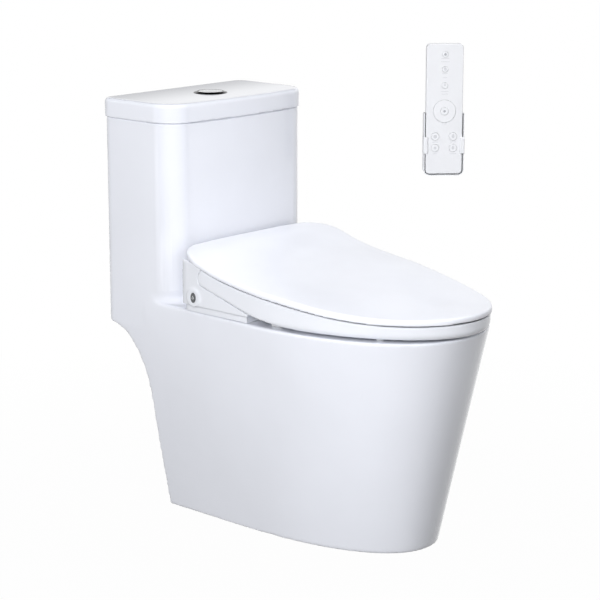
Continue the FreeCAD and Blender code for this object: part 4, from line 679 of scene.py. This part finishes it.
@dataclass
class Castings(Assembly):
    """The china: tank, rim, bowl and foot as one glazed skin, and the loose tank lid."""

    body_skin: SoftSkin = SoftSkin(2.7 * MM, 8, 195_000)
    lid_skin: SoftSkin = SoftSkin(1.8 * MM, 5, 120_000)
    corner: TankCorner = TankCorner()

    def build(self) -> None:
        """Makes the glazed pieces and dresses the hidden sections."""
        sections = ("tank_casting", "bowl_casting", "skirt_casting")
        body = self.body_skin.make("china_body", sections)
        _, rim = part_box("bowl_casting")
        self.corner.tighten(body, self.corner.built_radius, rim.z)
        self.stand_in(body, "china", sections)
        nodes = ("tank_lid",)
        lid = self.lid_skin.make("china_tank_lid", nodes)
        self.corner.tighten(lid, self.corner.built_radius + self.corner.overhang, rim.z)
        self.stand_in(lid, "china", nodes)
        self.carry("china", "trapway_casting", "flush_channel")


@dataclass
class Drain(Assembly):
    """The floor outlet and what holds the china down."""

    def build(self) -> None:
        """Dresses the adapter, its seal and the screws."""
        self.carry("adapter_plastic", "outlet_adapter")
        self.carry("rubber", "outlet_seal")
        self.carry("steel", "floor_screws")


@dataclass
class Cistern(Assembly):
    """The flush buttons and the valves inside the tank."""

    thread_pitch: float = 2.0 * MM
    thread_length: float = 24.0 * MM
    thread_bead: float = 0.45 * MM
    bore_share: float = 0.745
    plate_share: float = 0.73
    bezel_rise: float = 2.7 * MM
    bezel_edge: float = 0.35 * MM
    bezel_steps: int = 96
    bezel_crease: float = math.radians(40.0)
    plate_drop: float = 0.9 * MM

    def build(self) -> None:
        """Makes the bezel and the plates, dresses the valves and cuts the inlet's thread."""
        bezel = self.turn_bezel("button_bezel")
        # The bezel is chrome; its near-black colour is a painted dark reflection.
        self.stand_in(bezel, "chrome", ("button_bezel",), finish=CHROME_PAINTED_DARK_REFLECTION)
        for button in ("full_flush_button", "half_flush_button"):
            # The plates are chrome; their pale colour is a painted white reflection.
            plate = self.press_plate(button)
            self.stand_in(plate, "chrome", (button,), finish=CHROME_PAINTED_WHITE_REFLECTION)
        self.carry(
            "valve_plastic", "bezel_nut", "full_flush_rod", "half_flush_rod",
            "full_flush_lever", "half_flush_lever", "flush_valve_base", "flush_valve_body",
            "valve_lifter", "overflow_tube", "fill_valve_body", "fill_valve_cap",
            "fill_valve_nut",
        )
        self.carry("rubber", "valve_seal")
        self.carry("clear_rubber", "refill_tube")
        self.carry("float_plastic", "fill_float")
        self.cut_thread("fill_valve_body")

    def turn_bezel(self, node: str) -> bpy.types.Object:
        """Turns the flat, wide ring round the buttons, with the sleeve below it.

        Args:
            node: The CAD node of the bezel.

        Returns:
            The closed ring.
        """
        low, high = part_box(node)
        _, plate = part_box("tank_lid")
        outer = (high.x - low.x) / 2
        bore = outer * self.bore_share
        top = plate.z + self.bezel_rise
        shank = [v.co for v in NODES[node].data.vertices if v.co.z < plate.z - self.bezel_rise]
        middle = (low + high) / 2
        sleeve = max(math.hypot(co.x - middle.x, co.y - middle.y) for co in shank)
        edge = self.bezel_edge
        profile = (
            (bore, low.z), (bore, top - edge), (bore + edge, top),
            (bore + 3 * edge, top - edge / 2), (outer - 2 * edge, plate.z + 2 * edge),
            (outer, plate.z + edge), (outer, plate.z), (sleeve, plate.z), (sleeve, low.z),
        )
        shape = bmesh.new()
        rings = []
        for step in range(self.bezel_steps):
            angle = math.tau * step / self.bezel_steps
            way = Vector((math.cos(angle), math.sin(angle), 0.0))
            rings.append([
                shape.verts.new(Vector((middle.x, middle.y, height)) + way * radius)
                for radius, height in profile
            ])
        for here, there in zip(rings, rings[1:] + rings[:1]):
            for k in range(len(profile)):
                after = (k + 1) % len(profile)
                shape.faces.new((here[k], there[k], there[after], here[after]))
        bmesh.ops.recalc_face_normals(shape, faces=list(shape.faces))
        mesh = bpy.data.meshes.new("turned_bezel")
        shape.to_mesh(mesh)
        shape.free()
        piece = new_piece("turned_bezel", mesh)
        piece.data.shade_smooth()
        piece.data.set_sharp_from_angle(angle=self.bezel_crease)
        return piece

    def press_plate(self, node: str) -> bpy.types.Object:
        """Draws one half of the button in to the bezel's bore, and level with its rim.

        Args:
            node: The CAD node of that half.

        Returns:
            The half plate.
        """
        ring_low, ring_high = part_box("button_bezel")
        middle = (ring_low + ring_high) / 2
        low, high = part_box(node)
        wide = (high.y - low.y) / 2
        draw = (ring_high.x - ring_low.x) / 2 * self.plate_share / wide
        flat = 1.0 - self.plate_drop / (high.z - low.z)
        mesh = NODES[node].data.copy()
        mesh.name = "plate_" + node
        for vertex in mesh.vertices:
            co = vertex.co
            co.x = middle.x + (co.x - middle.x) * draw
            co.y = middle.y + (co.y - middle.y) * draw
            co.z = low.z + (co.z - low.z) * flat
        return new_piece(mesh.name, mesh)

    def cut_thread(self, node: str) -> None:
        """Winds the thread round the hose end of the inlet shank.

        Args:
            node: The CAD node with the shank, which hangs down round its middle.
        """
        low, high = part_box(node)
        foot = Vector(((low.x + high.x) / 2, (low.y + high.y) / 2, low.z + self.thread_pitch))
        shank = [v.co for v in NODES[node].data.vertices if v.co.z < foot.z]
        radius = max(math.hypot(co.x - foot.x, co.y - foot.y) for co in shank)
        thread = thread_tree().build(
            "inlet_thread", Matrix.Translation(foot), radius=radius - self.thread_bead / 2,
            pitch=self.thread_pitch, length=self.thread_length, bead=self.thread_bead,
        )
        shade_smooth(thread)
        self.stand_in(thread, "valve_plastic", body=BODY_OF[node])


@dataclass
class BidetSeat(Assembly):
    """The heated ring, its cover and the housing with the works inside."""

    ring_skin: SoftSkin = SoftSkin(1.9 * MM, 5, 150_000)
    cover_skin: SoftSkin = SoftSkin(1.9 * MM, 6, 190_000)
    housing_skin: SoftSkin = SoftSkin(1.7 * MM, 4, 150_000)
    mark_radius: float = 2.4 * MM
    mark_stroke: float = 0.7 * MM
    film: float = 0.06 * MM
    knob_travel: float = 2.0 * MM
    knob_gap: float = 0.85 * MM
    knob_stops: int = 5
    knob_tries: int = 40

    def build(self) -> None:
        """Makes the moulded skins and dresses the rest."""
        # Painted shade: the ring is the same plastic as the lid but takes the darker housing
        # colour, so its sides read darker than the lid's top.
        for name, skin, finish, nodes in (
            ("moulded_ring", self.ring_skin, HOUSING_WHITE, ("seat_upper", "seat_lower")),
            ("moulded_lid", self.cover_skin, SEAT_WHITE, ("seat_lid",)),
        ):
            self.stand_in(skin.make(name, nodes), "seat_plastic", nodes, finish=finish)
        shell = ("housing_cover",)
        housing = self.housing_skin.make("moulded_housing", shell)
        self.open_hole(housing, "side_button")
        self.stand_in(housing, "housing_plastic", shell)
        self.carry("housing_plastic", "housing_base")
        self.carry("ring_grey", "side_button", "side_button_ring")
        self.print_knob("side_button")
        self.carry("clear_rubber", "seat_buffers", "lid_buffers")
        self.carry("foil", "seat_heater")
        self.carry("steel", "hinge_pins", "plate_bolts", "water_heater", "wash_nozzle")
        self.carry("valve_plastic", "mounting_plate", "nozzle_guide", "inlet_valve", "plate_nuts")
        self.carry("board", "circuit_board")

    def open_hole(self, skin: bpy.types.Object, node: str) -> None:
        """Moves the skin back from a button that slides along X, over its whole travel.

        Args:
            skin: The smooth skin, whose hole the easing has narrowed.
            node: The CAD node of the button.
        """
        low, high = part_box(node)
        middle = (low + high) / 2
        reach = Vector((1.0, 1.0, 1.0)) * 2 * self.knob_gap
        low, high = low - reach, high + reach
        high.x += self.knob_travel
        knob = NODES[node].data
        corners = [vertex.co for vertex in knob.vertices]
        tree = BVHTree.FromPolygons(corners, [tuple(face.vertices) for face in knob.polygons])
        last = self.knob_stops - 1
        stops = [Vector((self.knob_travel * k / last, 0.0, 0.0)) for k in range(last + 1)]
        moved = 0
        for vertex in skin.data.vertices:
            co = vertex.co
            if not all(low[k] < co[k] < high[k] for k in range(3)):
                continue
            way = Vector((0.0, co.y - middle.y, co.z - middle.z)).normalized()
            for _ in range(self.knob_tries):
                if all(self.clears(tree, co - stop) for stop in stops):
                    break
                co += way * self.knob_gap / 3
                moved += 1
        LOG.info("%s opened for %s in %d steps", skin.name, node, moved)

    def clears(self, tree: BVHTree, spot: Vector) -> bool:
        """Whether a point is outside the button, with the gap to spare.

        Args:
            tree: The button's faces.
            spot: The point.

        Returns:
            True where it is.
        """
        place, normal, _, distance = tree.find_nearest(spot)
        return (spot - place).dot(normal) > 0 and distance > self.knob_gap

    def print_knob(self, node: str) -> None:
        """Prints the white ring and stroke of an on and off mark on the side button.

        Args:
            node: The CAD node of the button, whose face looks left.
        """
        low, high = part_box(node)
        middle = (low + high) / 2
        shape = bmesh.new()
        turn = Matrix.Rotation(-math.pi / 2, 4, "Y")
        loops = []
        for radius in (self.mark_radius, self.mark_radius - self.mark_stroke):
            loops += bmesh.ops.create_circle(shape, segments=28, radius=radius)["verts"]
        sides = list({edge for vertex in loops for edge in vertex.link_edges})
        bmesh.ops.bridge_loops(shape, edges=sides)
        bar = bmesh.ops.create_grid(shape, x_segments=1, y_segments=1, size=0.5)["verts"]
        stretch = Matrix.Diagonal((self.mark_radius, self.mark_stroke, 1.0, 1.0))
        lift = Matrix.Translation((self.mark_radius, 0.0, 0.0))
        bmesh.ops.transform(shape, matrix=lift @ stretch, verts=bar)
        solid = bmesh.ops.extrude_face_region(shape, geom=list(shape.faces))["geom"]
        raised = [item for item in solid if isinstance(item, bmesh.types.BMVert)]
        bmesh.ops.translate(shape, verts=raised, vec=(0.0, 0.0, self.film))
        bmesh.ops.recalc_face_normals(shape, faces=list(shape.faces))
        mesh = bpy.data.meshes.new("knob_mark")
        shape.to_mesh(mesh)
        shape.free()
        mesh.transform(Matrix.Translation((low.x, middle.y, middle.z)) @ turn)
        mark = new_piece("knob_mark", mesh)
        cover(mark, PRINT_WHITE)
        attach(mark, BODY_OF[node])
        LOG.info("%s printed", mark.name)


@dataclass
class Remote(Assembly):
    """The remote control in its cradle, with the marks printed on it."""

    outward: Vector = field(default_factory=lambda: Vector((-1, -1, 0)).normalized())
    film: float = 0.06 * MM
    units_high: float = 243.0
    type_height: float = 1.1

    def build(self) -> None:
        """Dresses the cradle, the shells and the keys, and prints the marks."""
        self.carry("remote_plastic", "remote_front", "remote_back", "battery_door")
        self.carry("remote_plastic", "wall_cradle")
        # Painted shadow: the liner's dark grey stands in for the shadow in the gap between the
        # remote and the cradle's walls.
        self.carry("ring_grey", "cradle_liner")
        self.carry(
            "key_plastic", "ring_key", "centre_key", "upper_key_1", "upper_key_2",
            "upper_key_3", "lower_key_1", "lower_key_2", "lower_key_3", "lower_key_4",
        )
        self.print_marks()

    def face(self, node: str) -> tuple[Vector, float]:
        """Where a node's front face is.

        Args:
            node: The CAD node.

        Returns:
            The middle of its box, and how far its face stands out along the outward direction.
        """
        low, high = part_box(node)
        reach = max(vertex.co.dot(self.outward) for vertex in NODES[node].data.vertices)
        return (low + high) / 2, reach

    def spot(self, node: str, drop: float, reach: float | None = None) -> Matrix:
        """A frame on the front face, under or on the middle of a node.

        Args:
            node: The CAD node that the spot is measured from.
            drop: How far below the node's middle it is.
            reach: How far out the spot lies, or None for the node's own face.

        Returns:
            A matrix with x to the right, y up and z out of the face.
        """
        middle, own = self.face(node)
        out = self.outward
        right = UP.cross(out)
        depth = (own if reach is None else reach) + self.film / 2 - middle.dot(out)
        place = middle + out * depth - UP * drop
        turn = Matrix((right, UP, out)).transposed().to_4x4()
        return Matrix.Translation(place) @ turn

    def mark(
        self, name: str, place: Matrix, outline: list[tuple[float, float]], finish: Finish
    ) -> bpy.types.Object:
        """A thin printed patch.

        Args:
            name: The piece's name.
            place: Its frame.
            outline: Its corners in that frame.
            finish: Its ink.

        Returns:
            The piece.
        """
        shape = bmesh.new()
        corners = [shape.verts.new((x, y, -self.film / 2)) for x, y in outline]
        base = shape.faces.new(corners)
        raised = bmesh.ops.extrude_face_region(shape, geom=[base])["geom"]
        lifted = [item for item in raised if isinstance(item, bmesh.types.BMVert)]
        bmesh.ops.translate(shape, verts=lifted, vec=(0.0, 0.0, self.film))
        bmesh.ops.recalc_face_normals(shape, faces=list(shape.faces))
        mesh = bpy.data.meshes.new(name)
        shape.to_mesh(mesh)
        shape.free()
        mesh.transform(place)
        piece = new_piece(name, mesh)
        cover(piece, finish)
        return piece

    def drop_outline(self, width: float, height: float) -> list[tuple[float, float]]:
        """Outline of a water drop, or of a disc where it is as wide as high.

        Args:
            width: Its width.
            height: Its height; what it has beyond its width is drawn up to a point.

        Returns:
            The corners, counterclockwise.
        """
        corners = []
        for step in range(24):
            angle = math.tau * step / 24 - math.pi / 2
            rise = math.sin(angle)
            draw = max(rise, 0.0) ** 2 * (height - width)
            narrow = 1.0 - 0.5 * max(rise, 0.0) * (height / width - 1.0)
            corners.append((width / 2 * math.cos(angle) * narrow, width / 2 * rise + draw))
        return corners

    def print_marks(self) -> None:
        """Prints the dots, the drops and the lines of small type."""
        low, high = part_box("remote_front")
        unit = (high.z - low.z) / self.units_high
        _, front = self.face("remote_front")
        dashes = dash_tree()
        rows = (
            ("upper_key_1", 7.7, 9, "remote"),
            ("upper_key_1", 13.4, 9, "remote"),
            ("upper_key_2", 8.0, 6, "remote"),
            ("upper_key_2", 15.4, 5, "remote"),
            ("upper_key_3", 11.0, 8, "remote"),
            ("upper_key_3", 16.0, 7, "remote"),
            ("centre_key", 23.8, 5, "remote"),
            ("lower_key_1", 10.2, 6, "remote"),
            ("lower_key_2", 10.2, 6, "remote"),
            ("lower_key_3", 11.0, 4, "remote"),
            ("lower_key_4", 11.0, 7, "remote"),
        )
        for number, (node, drop, count, body) in enumerate(rows, 1):
            row = dashes.build(
                f"type_line_{number}", self.spot(node, drop * unit, front), count=count,
                step=1.7 * unit, width=1.3 * unit, height=self.type_height * unit, film=self.film,
            )
            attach(row, body)
            LOG.info("%s printed", row.name)
        icons = (
            ("upper_key_1", 5.0, 5.0, PRINT_GREY),
            ("upper_key_2", 6.0, 7.5, PRINT_PALE),
            ("upper_key_3", 3.4, 6.6, PRINT_PALE),
            ("centre_key", 4.6, 4.6, PRINT_GREY),
            ("lower_key_1", 7.0, 7.0, PRINT_PALE),
            ("lower_key_2", 5.5, 8.5, PRINT_PALE),
            ("lower_key_3", 5.0, 5.0, PRINT_PALE),
            ("lower_key_4", 5.0, 7.0, PRINT_PALE),
        )
        for node, width, height, ink in icons:
            outline = self.drop_outline(width * unit, height * unit)
            mark = self.mark(node + "_icon", self.spot(node, 0.0), outline, ink)
            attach(mark, BODY_OF[node])
            LOG.info("%s printed", mark.name)


@dataclass
class Studio:
    """The pale floor, the white surround, the flags, the soft lamps and the camera."""

    aim: Vector = field(default_factory=lambda: Vector((-0.0918, -0.107, 0.4222)))
    forward: Vector = field(default_factory=lambda: Vector((0.7199, 0.6565, -0.2253)))
    distance: float = 3.5355
    lens: float = 123.63
    floor_radius: float = 30.0
    floor_drop: float = 0.5 * MM
    floor_shade: float = 0.05
    floor_glow: float = 0.985
    glow_from: float = 0.35
    glow_to: float = 1.3
    flag_radius: float = 2.7
    flag_height: float = 1.9
    flag_from: float = math.radians(160.0)
    flag_to: float = math.radians(300.0)
    flag_steps: int = 24
    canopy_share: float = 0.01
    canopy_rise: float = 1.6
    card_gap: float = 0.155
    card_foot: float = 0.030
    card_rise: float = 0.052
    card_shade: float = 0.55
    flag_shade: float = 0.02
    surround: float = 0.12

    def build(self) -> None:
        """Sets the whole studio up."""
        self.light_world()
        self.lay_floor()
        self.hang_lamps()
        self.hang_flags()
        self.place_camera()

    def seen(self, tree: bpy.types.NodeTree) -> bpy.types.NodeSocket:
        """A switch that is on for what the camera, gloss and glass see.

        Args:
            tree: The node tree it goes in.

        Returns:
            The switch's socket, clamped to 1.
        """
        path = tree.nodes.new("ShaderNodeLightPath")
        total = path.outputs["Is Camera Ray"]
        for ray in ("Is Glossy Ray", "Is Transmission Ray"):
            add = tree.nodes.new("ShaderNodeMath")
            add.operation = "ADD"
            add.use_clamp = True
            tree.links.new(total, add.inputs[0])
            tree.links.new(path.outputs[ray], add.inputs[1])
            total = add.outputs[0]
        return total

    def light_world(self) -> None:
        """White where it is seen, and a weak white fill everywhere else."""
        world = bpy.data.worlds.new("studio")
        bpy.context.scene.world = world
        world.use_nodes = True
        tree = world.node_tree
        tree.nodes.clear()
        output = tree.nodes.new("ShaderNodeOutputWorld")
        mix = tree.nodes.new("ShaderNodeMixShader")
        tree.links.new(self.seen(tree), mix.inputs["Fac"])
        for slot, strength in ((1, self.surround), (2, 1.0)):
            glow = tree.nodes.new("ShaderNodeBackground")
            glow.inputs["Color"].default_value = (1.0, 1.0, 1.0, 1.0)
            glow.inputs["Strength"].default_value = strength
            tree.links.new(glow.outputs[0], mix.inputs[slot])
        tree.links.new(mix.outputs[0], output.inputs["Surface"])

    def lay_floor(self) -> None:
        """Lays a plain pale floor that fades into the white surround."""
        shape = bmesh.new()
        bmesh.ops.create_circle(shape, cap_ends=True, segments=96, radius=self.floor_radius)
        mesh = bpy.data.meshes.new("floor")
        shape.to_mesh(mesh)
        shape.free()
        floor = new_piece("floor", mesh)
        floor.location.z = -self.floor_drop
        material = bpy.data.materials.new("pale floor")
        material.use_nodes = True
        tree = material.node_tree
        shader = tree.nodes["Principled BSDF"]
        shader.inputs["Base Color"].default_value = (*(self.floor_shade,) * 3, 1.0)
        shader.inputs["Roughness"].default_value = 0.9
        shader.inputs["Specular IOR Level"].default_value = 0.0
        glow = tree.nodes.new("ShaderNodeEmission")
        glow.inputs["Color"].default_value = (1.0, 1.0, 1.0, 1.0)
        fade = tree.nodes.new("ShaderNodeMapRange")
        fade.inputs["From Min"].default_value = self.glow_from
        fade.inputs["From Max"].default_value = self.glow_to
        fade.inputs["To Min"].default_value = self.floor_glow
        fade.inputs["To Max"].default_value = 1.0
        place = tree.nodes.new("ShaderNodeTexCoord")
        span = tree.nodes.new("ShaderNodeVectorMath")
        span.operation = "LENGTH"
        both = tree.nodes.new("ShaderNodeMath")
        both.operation = "MULTIPLY"
        mix = tree.nodes.new("ShaderNodeMixShader")
        output = tree.nodes["Material Output"]
        tree.links.new(place.outputs["Object"], span.inputs[0])
        tree.links.new(span.outputs["Value"], fade.inputs["Value"])
        tree.links.new(fade.outputs["Result"], both.inputs[0])
        tree.links.new(self.seen(tree), both.inputs[1])
        tree.links.new(both.outputs[0], mix.inputs["Fac"])
        tree.links.new(shader.outputs[0], mix.inputs[1])
        tree.links.new(glow.outputs[0], mix.inputs[2])
        tree.links.new(mix.outputs[0], output.inputs["Surface"])
        floor.data.materials.append(material)

    def hang_flag(
        self, name: str, corners: list[Vector], fade: tuple[float, float, float] | None = None
    ) -> None:
        """Hangs a dark strip that only glossy faces show.

        Args:
            name: The strip's name.
            corners: Its lower corners, from one end to the other, then its upper ones back.
            fade: Its paleness at its foot, and the heights between which it turns white.
        """
        shape = bmesh.new()
        count = len(corners) // 2
        low = [shape.verts.new(corner) for corner in corners[:count]]
        high = [shape.verts.new(corner) for corner in reversed(corners[count:])]
        for k in range(count - 1):
            shape.faces.new((low[k], low[k + 1], high[k + 1], high[k]))
        mesh = bpy.data.meshes.new(name)
        shape.to_mesh(mesh)
        shape.free()
        flag = new_piece(name, mesh)
        for ray in ("camera", "diffuse", "transmission", "shadow"):
            setattr(flag, "visible_" + ray, False)
        material = bpy.data.materials.new(name)
        material.use_nodes = True
        tree = material.node_tree
        glow = tree.nodes.new("ShaderNodeEmission")
        glow.inputs["Strength"].default_value = self.flag_shade
        if fade is not None:
            place = tree.nodes.new("ShaderNodeTexCoord")
            axes = tree.nodes.new("ShaderNodeSeparateXYZ")
            ramp = tree.nodes.new("ShaderNodeMapRange")
            ramp.inputs["To Min"].default_value = fade[0]
            ramp.inputs["From Min"].default_value = fade[1]
            ramp.inputs["From Max"].default_value = fade[2]
            tree.links.new(place.outputs["Object"], axes.inputs[0])
            tree.links.new(axes.outputs["Z"], ramp.inputs["Value"])
            tree.links.new(ramp.outputs["Result"], glow.inputs["Strength"])
        tree.links.new(glow.outputs[0], tree.nodes["Material Output"].inputs["Surface"])
        mesh.materials.append(material)

    def arc(self, start: float, end: float) -> list[Vector]:
        """Points on the floor along the circle of the flags.

        Args:
            start: The first point's angle.
            end: The last one's.

        Returns:
            The points.
        """
        angles = [start + (end - start) * k / self.flag_steps for k in range(self.flag_steps + 1)]
        return [Vector((math.cos(a), math.sin(a), 0.0)) * self.flag_radius for a in angles]

    def hang_flags(self) -> None:
        """Hangs a curved strip round the front, a canopy, and a grey card behind the tank."""
        rise = UP * self.flag_height
        ring = self.arc(self.flag_from, self.flag_to)
        self.hang_flag("front_flag", ring + [spot + rise for spot in reversed(ring)])
        ring = self.arc(0.0, math.tau)
        eaves = [spot + rise for spot in ring]
        crown = [spot * self.canopy_share + rise * self.canopy_rise for spot in reversed(ring)]
        self.hang_flag("canopy", eaves + crown)
        low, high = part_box("tank_lid")
        back = high.y + self.card_gap
        left, right = low.x + self.card_gap / 2, high.x + self.card_gap * 2.4
        top = high.z + self.card_rise
        card = [Vector((left, back, low.z)), Vector((right, back, low.z))]
        card += [Vector((right, back, top)), Vector((left, back, top))]
        self.hang_flag("back_flag", card, (self.card_shade, high.z + self.card_foot, top))

    def lamp(self, name: str, place: Vector, size: float, power: float) -> None:
        """Hangs one square soft box that faces the middle, unseen by glossy faces.

        Args:
            name: The lamp's name.
            place: Where it hangs.
            size: Its side.
            power: Its power in watts.
        """
        light = bpy.data.lights.new(name, "AREA")
        light.size = size
        light.energy = power
        holder = bpy.data.objects.new(name, light)
        bpy.context.scene.collection.objects.link(holder)
        holder.visible_glossy = False
        holder.location = place
        middle = (CAD_LOW + CAD_HIGH) / 2
        holder.rotation_euler = (middle - place).to_track_quat("-Z", "Y").to_euler()

    def hang_lamps(self) -> None:
        """Hangs the key on the left, weaker ones in front and on the right, and one above."""
        self.lamp("left key", Vector((-2.1, -0.9, 1.05)), 1.4, 57.0)
        self.lamp("front key", Vector((-0.2, -2.3, 1.5)), 1.6, 15.0)
        self.lamp("right fill", Vector((2.3, -0.1, 1.2)), 1.6, 20.0)
        self.lamp("top light", Vector((0.1, -0.4, 2.6)), 2.0, 27.0)

    def place_camera(self) -> None:
        """Stands the camera back along its line of sight."""
        lens = bpy.data.cameras.new("camera")
        lens.lens = self.lens
        lens.clip_end = 100.0
        camera = bpy.data.objects.new("camera", lens)
        bpy.context.scene.collection.objects.link(camera)
        bpy.context.scene.camera = camera
        sight = self.forward.normalized()
        camera.location = self.aim - sight * self.distance
        camera.rotation_euler = sight.to_track_quat("-Z", "Y").to_euler()


def main() -> None:
    """Builds every sub-assembly, then the studio."""
    logging.basicConfig(level=logging.INFO, format="%(name)s: %(message)s")
    slots = Slots()
    for group in (Castings(slots), Drain(slots), Cistern(slots), BidetSeat(slots), Remote(slots)):
        LOG.info("building %s", type(group).__name__)
        group.build()
    Studio().build()
    bpy.context.scene.view_settings.view_transform = "Standard"


if __name__ == "__main__":
    main()
